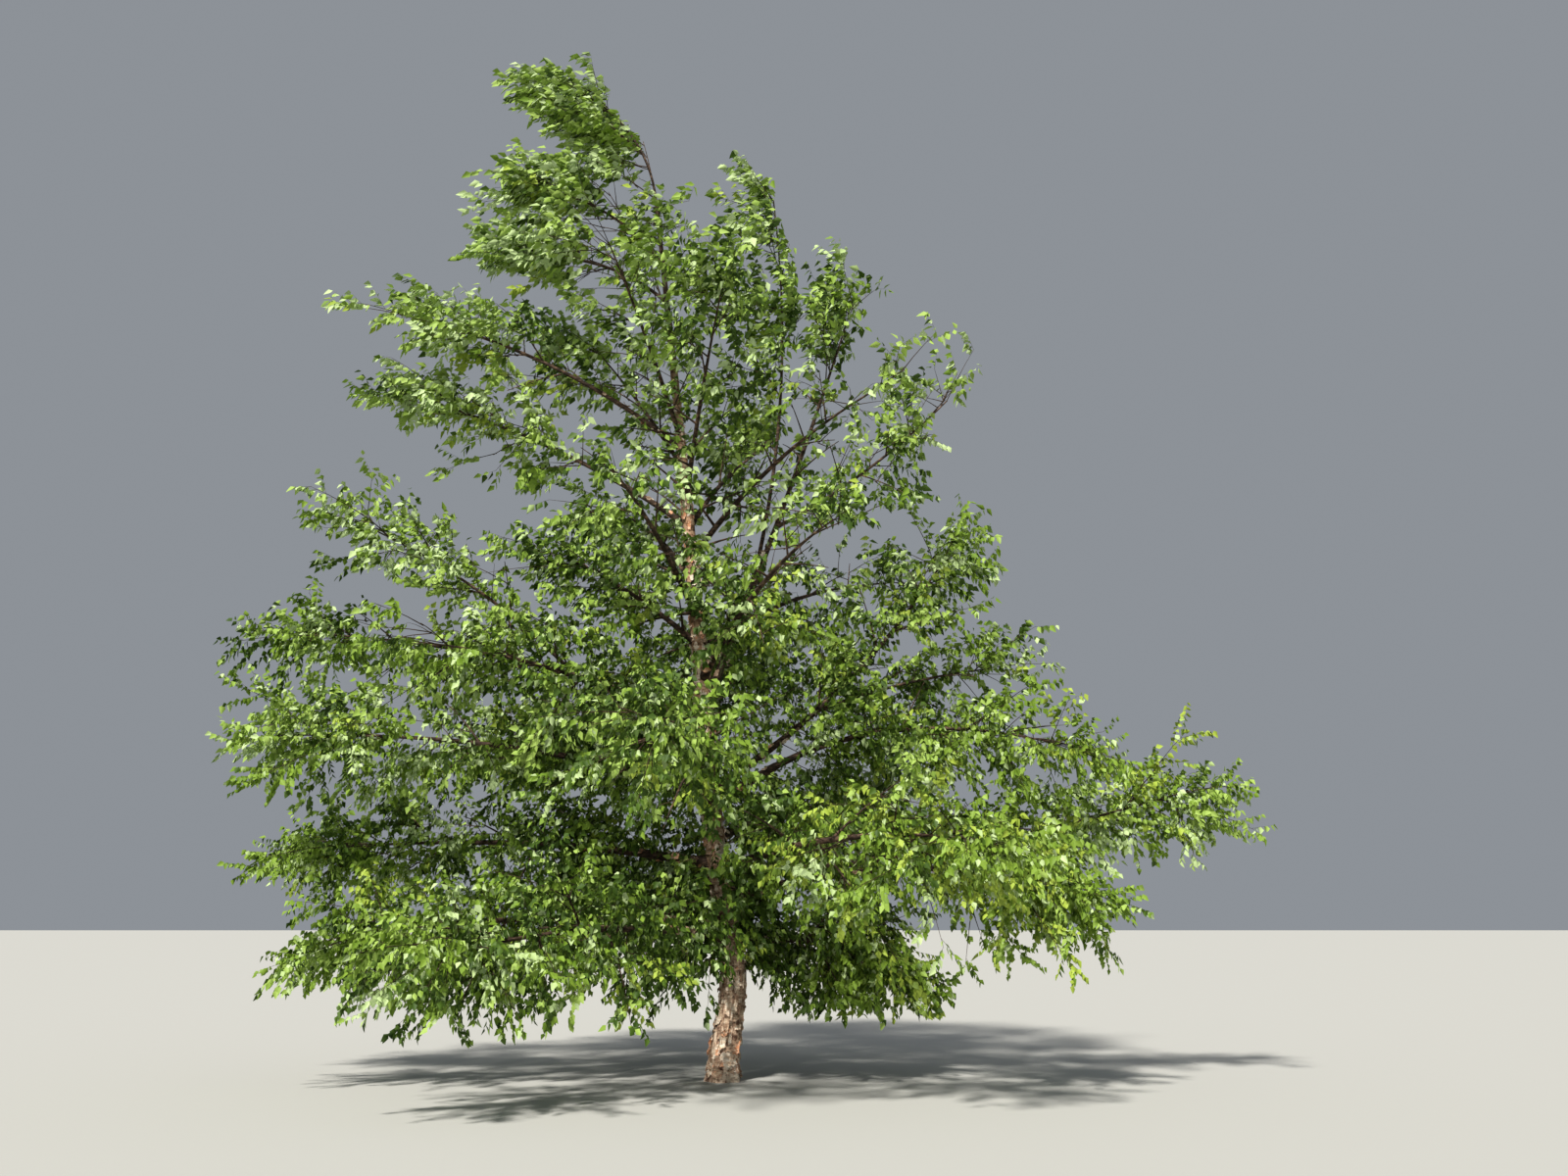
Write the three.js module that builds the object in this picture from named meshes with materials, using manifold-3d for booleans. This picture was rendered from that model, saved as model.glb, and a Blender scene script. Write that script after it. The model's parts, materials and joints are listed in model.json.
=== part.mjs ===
// A river birch in full summer leaf: one leaning central trunk, boughs that rise from it on all sides,
// and a mass of foliage round the end of each. Millimetres, +Z up, ground at z = 0, trunk foot at the
// origin, +X to the right and +Y away from the viewer. A breeze from the right leans the top to -X.
import * as THREE from 'three';
import { mergeVertices } from 'three/addons/utils/BufferGeometryUtils.js';
import Module from 'manifold-3d';

const wasm = await Module();
wasm.setup();

// Trunk: its radius would reach nothing at TAPER_HEIGHT, and its foot flares in lobes
const TRUNK_TOP = 9350;
const TRUNK_RADIUS = 134;
const TAPER_HEIGHT = 10750;
const FLARE = 45;
const FLARE_HEIGHT = 170;
const FLARE_LOBES = 5;
const LOBE_DEPTH = 0.35;
const LEAN = 820;
const LEAN_POWER = 1.35;
const CROOK = 130;
const CROOK_HEIGHT = 1100;
const SWAY = 90;
const SWAY_TURNS = 4;
const TRUNK_SIDES = 15;
const TRUNK_RINGS = [0, 60, 150, 300, 600, 1100, 1800, 2600, 3500, 4600, 5800, 7000, 8200, TRUNK_TOP];

// Boughs: GAP parts two solids that meet
const GAP = 0.3;
const BOUGH_SIDES = 5;
const BOUGH_STEPS = 4;
const GIRTH_OF_PARENT = 0.42;
const GIRTH_OF_LENGTH = 0.0028;
const MOST_OF_PARENT = 0.78;
const TAPER = 0.62;
const BEND_PLACE = 0.5;

// Foliage stems, and the shoots that branch from them, shorter and less spread towards the tip
const STEM_SIDES = 4;
const STEM_STEPS = 3;
const STEM_END_RADIUS = 13;
const SHOOT_SIDES = 3;
const SHOOT_OF_STEM = 0.6;
const SHOOTS = 9;
const SHOOT_JITTER = [0.15, 0.55];
const GOLDEN_ANGLE = Math.PI * (3 - Math.sqrt(5));
const SHOOT_ANGLES = [70, 36];
const SHOOT_LENGTHS = [1, 0.5];
const SHOOT_VARIATION = [0.7, 1];
const FLATNESS = 0.55;
const WIND = 0.85;
const WIND_POWER = 3;
const DROOP = -0.12;
const LIFT = 0.2;

// Sprays of leaves: lengths in millimetres, the other sizes as shares of a length, angles in degrees
const SPRAY_LENGTH = 960;
const SPRAY_VARIATION = [0.88, 1.12];
const SPRAY_SHRINK = 0.22;
const SPRAY_WIDTH = 0.72;
const SPRAY_WIDEST = 0.5;
const SPRAY_FOLD = 0.036;
const SPRAY_SIZES = [1, 0.82, 0.66];
const SPRAY_TURNS = [0, 46, -46];
const SPRAY_PLACES = [0.3, 0.6, 0.9];
const SPRAY_ANGLES = [60, -60, 0];
const SPRAY_SWAY = 24;
const SPRAY_TILT = 85;
const STEM_SPRAYS = [-29, 6, 37];
const STEM_SPRAY_INSET = 3;
const SPRAY_PAST_STEM = 0.9;
const LOWEST_SPRAY = 580;

// Which of the many patterns of shoots and sprays that the rules give
const SEED = 12;

// Space between masses is judged at this many places along each stem, and a joined mass loses
// corners smaller than TIDY
const STEM_SAMPLES = 9;
const TIDY = 0.1;
const GROUND_BLOCK = 2000;
const CORNER_MERGE = 1e-3;
const TANGENT_STEP = 1e-3;
const SCATTER = [12.9898, 78.233, 43758.5453];

const BARK = new THREE.MeshStandardMaterial({ color: 0xa98c77, roughness: 0.9, metalness: 0 });
const BOUGH_BARK = new THREE.MeshStandardMaterial({ color: 0x6d5647, roughness: 0.85, metalness: 0 });
const LEAF = new THREE.MeshStandardMaterial({ color: 0x6f9a35, roughness: 0.6, metalness: 0 });

// One row for each limb that the view from the front shows. from and leaves: the limb it grows from
// and where, as a height on the trunk or a share of a bough. turn: its compass direction, 0 to the
// right and 90 away from the viewer. rise: its slope where it starts. reach and top: how far out and
// how high its furthest leaves are. bare: the share of it that is a bough, left out where the foliage
// starts on the limb it grows from. spread: the half width of its foliage.
const SEEN = [
  { name: 'top', leaves: 9320, turn: 178, rise: 84, reach: 2300, top: 11060, spread: 840 },
  { name: 'left_high', leaves: 8600, turn: 196, rise: 50, reach: 2850, top: 9250, spread: 620 },
  { name: 'left_shoulder', leaves: 8150, turn: 160, rise: 45, reach: 3120, top: 9080, spread: 640 },
  { name: 'left_crest', leaves: 6500, turn: 181, rise: 40, reach: 4250, top: 8130, bare: 0.3, spread: 760 },
  { name: 'left_tip', leaves: 5650, turn: 172, rise: 36, reach: 4150, top: 7430, bare: 0.32, spread: 800 },
  { name: 'left_inner', leaves: 4350, turn: 190, rise: 42, reach: 2400, top: 5450, spread: 740 },
  { name: 'left_long', leaves: 3600, turn: 176, rise: 22, reach: 5080, top: 4550, bare: 0.33, spread: 900 },
  {
    name: 'left_rising', from: 'left_long', leaves: 0.9, turn: 184, rise: 46, reach: 4400, top: 5820,
    spread: 800,
  },
  { name: 'left_shelf', leaves: 2850, turn: 188, rise: 16, reach: 5000, top: 3300, bare: 0.3, spread: 950 },
  { name: 'left_low', leaves: 2100, turn: 172, rise: 10, reach: 5000, top: 2200, bare: 0.3, spread: 950 },
  { name: 'left_skirt', leaves: 1500, turn: 190, rise: 6, reach: 4350, top: 1250, bare: 0.3, spread: 850 },

  { name: 'right_leader', leaves: 3700, turn: 8, rise: 68, reach: 1500, top: 8650, bare: 0.5, spread: 880 },
  {
    name: 'right_peak', from: 'right_leader', leaves: 0.5, turn: 24, rise: 76, reach: 420, top: 10150,
    spread: 800,
  },
  {
    name: 'right_upper', from: 'right_leader', leaves: 0.8, turn: 354, rise: 26, reach: 2850, top: 7500,
    bare: 0.2, spread: 720,
  },
  { name: 'right_rising', leaves: 2850, turn: 4, rise: 32, reach: 2720, top: 6000, bare: 0.36, spread: 820 },
  {
    name: 'right_fork', from: 'right_rising', leaves: 0.9, turn: 10, rise: 22, reach: 3560, top: 4250,
    spread: 760,
  },
  { name: 'right_fan', leaves: 2650, turn: 352, rise: 40, reach: 4200, top: 3000, bare: 0.4, spread: 850 },
  { name: 'right_long', leaves: 2000, turn: 2, rise: 3, reach: 5380, top: 3050, bare: 0.4, spread: 720 },
  { name: 'right_low', leaves: 1750, turn: 345, rise: 16, reach: 4050, top: 1780, bare: 0.58, spread: 620 },
  { name: 'right_skirt', leaves: 1300, turn: 12, rise: 12, reach: 2280, top: 850, bare: 0.3, spread: 700 },
];

// The limbs in front of and behind the trunk alternate up it. Each size goes from its first value, on
// the lowest, to its second, on the highest. turn spreads them over an arc on either side.
const ROUND = 17;
const ROUND_LEAVES = [1380, 6600];
const ROUND_RISE = [7, 58];
const ROUND_REACH = [4600, 2100];
const ROUND_POWER = 1.4;
const ROUND_VARIATION = [0.92, 1.05];
const ROUND_CLIMB = [-250, 2250];
const ROUND_SPREAD = [1000, 820];
const ROUND_BARE = 0.27;
const LAST_WITH_BOUGH = 8;
const SIDES = [{ side: 'front', turn: 270, first: 0.2 }, { side: 'back', turn: 90, first: 0.65 }];
const ARC = 62;
const GOLDEN_SHARE = 0.618;

const UP = new THREE.Vector3(0, 0, 1);
const LEEWARD = new THREE.Vector3(-1, 0, 0);
const radians = THREE.MathUtils.degToRad;
const mix = THREE.MathUtils.lerp;

// A repeatable number from 0 to 1 for two whole numbers.
function scatter(seed, n) {
  const value = Math.sin(seed * SCATTER[0] + n * SCATTER[1]) * SCATTER[2];
  return value - Math.floor(value);
}

// A closed geometry as a solid, with the corners that its faces share made one.
function solidOf(geometry) {
  geometry.deleteAttribute('normal');
  geometry.deleteAttribute('uv');
  const merged = mergeVertices(geometry, CORNER_MERGE);
  return new wasm.Manifold(new wasm.Mesh({
    numProp: 3,
    vertProperties: merged.attributes.position.array,
    triVerts: new Uint32Array(merged.index.array),
  }));
}

// A solid as a named mesh.
function meshOf(name, solid, material) {
  const { vertProperties, triVerts } = solid.getMesh();
  const geometry = new THREE.BufferGeometry();
  geometry.setAttribute('position', new THREE.BufferAttribute(vertProperties, 3));
  geometry.setIndex(new THREE.BufferAttribute(triVerts, 1));
  geometry.computeVertexNormals();
  const mesh = new THREE.Mesh(geometry, material);
  mesh.name = name;
  return mesh;
}

// Shares from first to last in equal steps.
function stepsBetween(first, last, steps) {
  return Array.from({ length: steps + 1 }, (_, i) => mix(first, last, i / steps));
}

// A tapering limb: a cylinder bent along path, which gives a point for a share from 0 to 1. side is
// a direction across the limb, radius(share, angle) is its radius, and shares are where its rings
// lie. A pointed one is a cone, whose last ring is a point.
function limb({ path, side, radius, sides, shares, pointed = false }) {
  const steps = shares.length - 1;
  const geometry = new THREE.CylinderGeometry(pointed ? 0 : 1, 1, steps, sides, steps);
  const places = geometry.attributes.position;
  for (let i = 0; i < places.count; i += 1) {
    const ring = Math.round(places.getY(i) + steps / 2);
    const share = shares[ring];
    const tangent = path(share + TANGENT_STEP).sub(path(share - TANGENT_STEP)).normalize();
    const across = side.clone().addScaledVector(tangent, -side.dot(tangent)).normalize();
    const over = new THREE.Vector3().crossVectors(tangent, across);
    const [x, z] = [places.getX(i), places.getZ(i)];
    const size = radius(share, Math.atan2(z, x));
    const point = path(share).addScaledVector(across, z * size).addScaledVector(over, x * size);
    places.setXYZ(i, point.x, point.y, point.z);
  }
  return solidOf(geometry);
}

// The trunk leans ever more to leeward, sways a little in depth, and is crooked to windward low down.
function trunkPoint(z) {
  const share = Math.abs(z) / TRUNK_TOP;
  const climb = (z / CROOK_HEIGHT) ** 2;
  const crook = CROOK * climb * Math.exp(1 - climb);
  return new THREE.Vector3(crook - LEAN * share ** LEAN_POWER, SWAY * Math.sin(share * SWAY_TURNS), z);
}

function trunkRadius(z) {
  return TRUNK_RADIUS * (1 - z / TAPER_HEIGHT);
}

// The trunk, from its flat cut at the ground to its tip. extra widens it all round and at the top.
function trunkSolid(extra) {
  const rings = TRUNK_RINGS.map((z) => (z === TRUNK_TOP ? z + extra : z) / TRUNK_TOP);
  const radius = (share, angle) => {
    const z = share * TRUNK_TOP;
    const flare = FLARE * Math.exp(-z / FLARE_HEIGHT) * (1 + LOBE_DEPTH * Math.cos(FLARE_LOBES * angle));
    return trunkRadius(z) + flare + extra;
  };
  const tube = limb({
    path: (share) => trunkPoint(share * TRUNK_TOP),
    side: new THREE.Vector3(0, 1, 0),
    radius,
    sides: TRUNK_SIDES,
    shares: rings,
  });
  const block = new THREE.BoxGeometry(GROUND_BLOCK, GROUND_BLOCK, GROUND_BLOCK);
  const ground = solidOf(block.translate(0, 0, -GROUND_BLOCK / 2));
  return extra ? tube : tube.subtract(ground);
}

// Sprays are shorter towards the top of the tree.
function sprayLength(z) {
  return SPRAY_LENGTH * (1 - SPRAY_SHRINK * z / TRUNK_TOP);
}

// The line of a limb, in the upright plane that holds its ends, with the sizes that follow from it.
function lineOf(row, seed, parent) {
  const start = parent ? parent.path(parent.bare * row.leaves) : trunkPoint(row.leaves);
  const parentRadius = parent ? parent.radius(parent.bare * row.leaves) : trunkRadius(row.leaves);
  const turn = radians(row.turn);
  const tip = new THREE.Vector3(row.reach * Math.cos(turn), row.reach * Math.sin(turn), row.top);
  const outward = tip.clone().sub(start).setZ(0).normalize();
  const length = tip.distanceTo(start);
  const rise = radians(row.rise);
  const bend = start.clone()
    .addScaledVector(outward, Math.cos(rise) * length * BEND_PLACE)
    .addScaledVector(UP, Math.sin(rise) * length * BEND_PLACE);
  const curve = new THREE.QuadraticBezierCurve3(start, bend, tip);
  const girth = Math.min(parentRadius * GIRTH_OF_PARENT + length * GIRTH_OF_LENGTH,
    parentRadius * MOST_OF_PARENT);
  const end = 1 - sprayLength(row.top) * SPRAY_PAST_STEM / length;
  return {
    bare: 0,
    ...row,
    seed,
    curve,
    length,
    end,
    side: new THREE.Vector3().crossVectors(UP, outward),
    path: (share) => curve.getPoint(share),
    radius: (share) => mix(girth, STEM_END_RADIUS, Math.min(1, share / end) ** TAPER),
  };
}

// The limbs in front of and behind the trunk, by the sizes above.
function roundRows() {
  return Array.from({ length: ROUND }, (_, k) => {
    const { side, turn, first } = SIDES[k % 2];
    const n = Math.floor(k / 2);
    const climb = k / (ROUND - 1);
    const leaves = mix(...ROUND_LEAVES, climb);
    return {
      name: `${side}_${n + 1}`,
      leaves,
      turn: turn + ARC * (2 * ((first + n * GOLDEN_SHARE) % 1) - 1),
      rise: mix(...ROUND_RISE, climb),
      reach: mix(...ROUND_REACH, climb ** ROUND_POWER) * mix(...ROUND_VARIATION, scatter(k, 3)),
      top: leaves + mix(...ROUND_CLIMB, climb),
      bare: k > LAST_WITH_BOUGH ? 0 : ROUND_BARE,
      spread: mix(...ROUND_SPREAD, climb),
    };
  });
}

// All limbs, each after the one that it grows from.
function allLines() {
  const lines = [];
  [...SEEN, ...roundRows()].forEach((row, order) => {
    lines.push(lineOf(row, order + SEED, lines.find((line) => line.name === row.from)));
  });
  return lines;
}

function boughSolid(line, extra) {
  return limb({
    path: line.path,
    side: line.side,
    radius: (share) => line.radius(share) + extra,
    sides: BOUGH_SIDES,
    shares: stepsBetween(0, line.bare, BOUGH_STEPS),
  });
}

// How near a point is to a limb's foliage stem, in half widths of that foliage.
function nearness(line, point) {
  line.samples ??= stepsBetween(line.bare, 1, STEM_SAMPLES - 1).map(line.path);
  return Math.min(...line.samples.map((place) => place.distanceTo(point))) / line.spread;
}

// True where a point is in the space of this limb's foliage and of no other's.
function inOwnSpace(line, point, lines) {
  const own = nearness(line, point);
  return point.z > LOWEST_SPRAY && lines.every((other) => other === line || own < nearness(other, point));
}

// A spray of leaves in one piece: a kite folded down along its midrib and flat beneath.
function spray({ root, along, across, length }) {
  const down = new THREE.Vector3().crossVectors(across, along).normalize();
  const widest = root.clone().addScaledVector(along, length * SPRAY_WIDEST)
    .addScaledVector(down, length * SPRAY_FOLD);
  const points = [
    root.clone(),
    root.clone().addScaledVector(along, length),
    widest.clone().addScaledVector(across, length * SPRAY_WIDTH / 2),
    widest.clone().addScaledVector(across, -length * SPRAY_WIDTH / 2),
  ];
  const geometry = new THREE.BufferGeometry().setFromPoints(points);
  geometry.setIndex([0, 1, 2, 0, 3, 1, 0, 2, 3, 1, 3, 2]);
  return { solid: solidOf(geometry), points: points.slice(1) };
}

// A direction combed to leeward by the breeze and up towards the light, more so with height.
function combed(direction, z) {
  const height = Math.max(z, 0) / TRUNK_TOP;
  return direction.clone()
    .addScaledVector(LEEWARD, WIND * height ** WIND_POWER)
    .addScaledVector(UP, mix(DROOP, LIFT, height))
    .normalize();
}

// The shares of a limb at which its foliage stem has its rings.
function stemShares(line) {
  const first = line.bare ? line.bare + GAP / line.length : 0;
  return stepsBetween(first, line.end, STEM_STEPS);
}

// The point on the axis of a limb's straight-sided foliage stem, for a share of that stem.
function onStem(line, place) {
  const knots = stemShares(line).map(line.path);
  const step = Math.floor(place * STEM_STEPS);
  return knots[step].lerp(knots[step + 1], place * STEM_STEPS - step);
}

// The shoots of a limb's foliage: they spiral round its stem by the golden angle, flattened into a
// layer, and shorten towards its tip.
function shootsOf(line) {
  return Array.from({ length: SHOOTS }, (_, k) => {
    const place = (k + mix(...SHOOT_JITTER, scatter(line.seed, k))) / SHOOTS;
    const share = mix(line.bare, line.end, place);
    const start = onStem(line, place);
    const tangent = line.curve.getTangent(share);
    const over = new THREE.Vector3().crossVectors(tangent, line.side).normalize();
    const roll = k * GOLDEN_ANGLE + line.seed;
    const lateral = line.side.clone().multiplyScalar(Math.cos(roll))
      .addScaledVector(over, Math.sin(roll) * FLATNESS).normalize();
    const angle = radians(mix(...SHOOT_ANGLES, place));
    const straight = tangent.multiplyScalar(Math.cos(angle)).addScaledVector(lateral, Math.sin(angle));
    const direction = combed(straight, start.z);
    const vary = mix(...SHOOT_VARIATION, scatter(line.seed, k + SHOOTS));
    const length = line.spread * mix(...SHOOT_LENGTHS, place) * vary;
    const end = start.clone().addScaledVector(direction, length);
    const radius = line.radius(share) * SHOOT_OF_STEM;
    return { start, end, direction, radius, seed: line.seed * SHOOTS + k };
  });
}

// Where sprays stand on a shoot: to its left and right, and one at its tip.
function spraysOf({ start, end, direction, seed }) {
  const side = new THREE.Vector3().crossVectors(UP, direction).normalize();
  return SPRAY_PLACES.map((place, n) => {
    const turn = radians(SPRAY_ANGLES[n] + (scatter(seed, n) - 0.5) * SPRAY_SWAY);
    const along = direction.clone().multiplyScalar(Math.cos(turn)).addScaledVector(side, Math.sin(turn));
    const root = start.clone().lerp(end, place);
    return { root, along: combed(along, start.z), seed: seed * SPRAY_PLACES.length + n };
  });
}

// The foliage of a limb as one solid: its stem, and each shoot and spray that keeps to its own space
// and clear of every limb. A spray that doesn't fit is tried smaller, and then left out.
function foliageSolid(line, lines, limbs, grown) {
  const own = [];
  const meets = (box, { box: other }) => [0, 1, 2]
    .every((i) => box.min[i] < other.max[i] && box.max[i] > other.min[i]);
  const isClear = (solid, but) => {
    const box = solid.boundingBox();
    return [...limbs, ...grown, ...own].every((other) => other === but || !meets(box, other)
      || solid.intersect(other.solid).isEmpty());
  };
  const add = (solid) => {
    const piece = { solid, box: solid.boundingBox() };
    own.push(piece);
    return piece;
  };
  const addSpray = ({ root, along, seed }, carrier) => {
    const level = new THREE.Vector3().crossVectors(UP, along).normalize();
    const over = new THREE.Vector3().crossVectors(along, level);
    const tilt = radians((scatter(seed, 7) - 0.5) * 2 * SPRAY_TILT);
    const size = sprayLength(root.z) * mix(...SPRAY_VARIATION, scatter(seed, 3));
    for (const share of SPRAY_SIZES) {
      for (const turn of SPRAY_TURNS.map(radians)) {
        const across = level.clone().multiplyScalar(Math.cos(tilt + turn))
          .addScaledVector(over, Math.sin(tilt + turn));
        const { solid, points } = spray({ root, along, across, length: size * share });
        if (points.every((point) => inOwnSpace(line, point, lines)) && isClear(solid, carrier)) {
          add(solid);
          return;
        }
      }
    }
  };

  let stemSolid = limb({
    path: line.path,
    side: line.side,
    radius: line.radius,
    sides: STEM_SIDES,
    shares: stemShares(line),
  });
  if (!line.bare) limbs.forEach((other) => { stemSolid = stemSolid.subtract(other.solid); });
  const stem = add(stemSolid);
  STEM_SPRAYS.map(radians).forEach((turn, n) => {
    const straight = line.curve.getTangent(line.end).multiplyScalar(Math.cos(turn))
      .addScaledVector(line.side, Math.sin(turn));
    const root = line.path(line.end - STEM_SPRAY_INSET / line.length);
    addSpray({ root, along: combed(straight, root.z), seed: line.seed + n * lines.length }, stem);
  });
  for (const shoot of shootsOf(line)) {
    const twig = limb({
      path: (share) => shoot.start.clone().lerp(shoot.end, share),
      side: UP,
      radius: () => shoot.radius,
      sides: SHOOT_SIDES,
      shares: [0, 1],
      pointed: true,
    });
    if (inOwnSpace(line, shoot.end, lines) && isClear(twig, stem)) {
      const carrier = add(twig);
      spraysOf(shoot).forEach((place) => addSpray(place, carrier));
    }
  }
  const bodies = wasm.Manifold.union(own.map(({ solid }) => solid)).simplify(TIDY).decompose();
  return bodies.sort((a, b) => b.volume() - a.volume())[0];
}

const lines = allLines();
const boxed = (solid) => ({ solid, box: solid.boundingBox() });
const limbs = [boxed(trunkSolid(GAP))];
const tree = new THREE.Group();
tree.add(meshOf('trunk', trunkSolid(0), BARK));
for (const line of lines.filter(({ bare }) => bare)) {
  let bough = boughSolid(line, 0);
  limbs.forEach((other) => { bough = bough.subtract(other.solid); });
  tree.add(meshOf(`bough_${line.name}`, bough, BOUGH_BARK));
  limbs.push(boxed(boughSolid(line, GAP)));
}
const grown = [];
for (const line of lines) {
  const solid = foliageSolid(line, lines, limbs, grown);
  grown.push(boxed(solid));
  tree.add(meshOf(`foliage_${line.name}`, solid, LEAF));
}

export default tree;
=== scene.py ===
import json
import math

import bpy
import numpy as np
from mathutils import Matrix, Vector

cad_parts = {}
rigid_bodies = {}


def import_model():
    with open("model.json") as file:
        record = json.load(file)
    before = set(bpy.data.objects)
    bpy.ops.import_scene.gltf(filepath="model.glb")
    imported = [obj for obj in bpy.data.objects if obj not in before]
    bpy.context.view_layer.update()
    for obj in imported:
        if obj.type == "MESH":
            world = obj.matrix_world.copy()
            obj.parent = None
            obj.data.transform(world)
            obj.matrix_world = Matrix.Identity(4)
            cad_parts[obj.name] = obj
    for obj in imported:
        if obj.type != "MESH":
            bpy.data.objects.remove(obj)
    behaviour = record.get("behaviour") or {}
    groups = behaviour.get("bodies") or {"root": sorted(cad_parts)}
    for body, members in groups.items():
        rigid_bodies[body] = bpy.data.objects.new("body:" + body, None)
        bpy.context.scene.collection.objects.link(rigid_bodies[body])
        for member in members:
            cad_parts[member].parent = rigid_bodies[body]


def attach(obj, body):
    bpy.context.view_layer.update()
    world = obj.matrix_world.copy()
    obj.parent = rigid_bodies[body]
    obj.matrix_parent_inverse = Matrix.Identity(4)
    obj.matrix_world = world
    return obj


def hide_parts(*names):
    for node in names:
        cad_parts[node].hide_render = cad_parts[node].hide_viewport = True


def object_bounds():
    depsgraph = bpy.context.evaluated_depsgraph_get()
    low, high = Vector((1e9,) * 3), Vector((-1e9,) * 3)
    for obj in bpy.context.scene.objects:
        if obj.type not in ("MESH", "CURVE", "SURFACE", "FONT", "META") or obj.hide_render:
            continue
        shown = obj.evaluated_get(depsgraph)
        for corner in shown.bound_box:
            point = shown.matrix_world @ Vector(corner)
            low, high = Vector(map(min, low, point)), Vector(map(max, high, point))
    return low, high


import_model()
cad_low, cad_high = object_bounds()

# Trunk: its radius would be nothing at TAPER_HEIGHT
TRUNK_TOP = 9.35
TRUNK_RADIUS = 0.134
TAPER_HEIGHT = 10.75
FLARE = 0.045
FLARE_HEIGHT = 0.17
FLARE_LOBES = 5
LOBE_DEPTH = 0.35
LEAN = 0.82
LEAN_POWER = 1.35
CROOK = 0.13
CROOK_HEIGHT = 1.1
SWAY = 0.09
SWAY_TURNS = 4

# Boughs
GIRTH_OF_PARENT = 0.42
GIRTH_OF_LENGTH = 0.0028
MOST_OF_PARENT = 0.78
TAPER = 0.62
BEND_PLACE = 0.5

# Foliage stems, and the shoots that branch from them
STEM_END_RADIUS = 0.013
SHOOT_OF_STEM = 0.6
SHOOTS = 9
SHOOT_JITTER = (0.15, 0.55)
GOLDEN_ANGLE = math.pi * (3 - math.sqrt(5))
SHOOT_ANGLES = (70, 36)
SHOOT_LENGTHS = (1, 0.5)
SHOOT_VARIATION = (0.7, 1)
FLATNESS = 0.55
WIND = 0.85
WIND_POWER = 3
DROOP = -0.12
LIFT = 0.2

# Branchlets
SPRAY_LENGTH = 0.96
SPRAY_VARIATION = (0.88, 1.12)
SPRAY_SHRINK = 0.22
SPRAY_PLACES = (0.3, 0.6, 0.9)
SPRAY_ANGLES = (60, -60, 0)
SPRAY_SWAY = 24
SPRAY_TILT = 60
STEM_SPRAYS = (-29, 6, 37)
STEM_SPRAY_INSET = 0.003
SPRAY_PAST_STEM = 0.9
LOWEST_SPRAY = 0.58
STEM_SAMPLES = 9
SEED = 12

# Finer branchlets between those, and on boughs
FILL_PLACES = (0.12, 0.34, 0.56, 0.8)
FILL_ANGLE = 58
FILL_SIZE = 0.72
FILL_LIFT = (0.0, 0.55)
FILL_BREEZE = 0.3
FILL_THINNING = (1.0, 0.7)
STEM_FILLS = 12
STEM_FILL_ANGLES = (75, 40)
INNER_SPACINGS = (0.055, 0.11)
INNER_HEIGHTS = (2.6, 4.5)
ROUND_INNER_SPACING = 0.048
INNER_FROM = 0.2
INNER_SIZE = 0.85

# The share of the thinning that takes whole sprays
BY_SPRAY = 0.6
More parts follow.
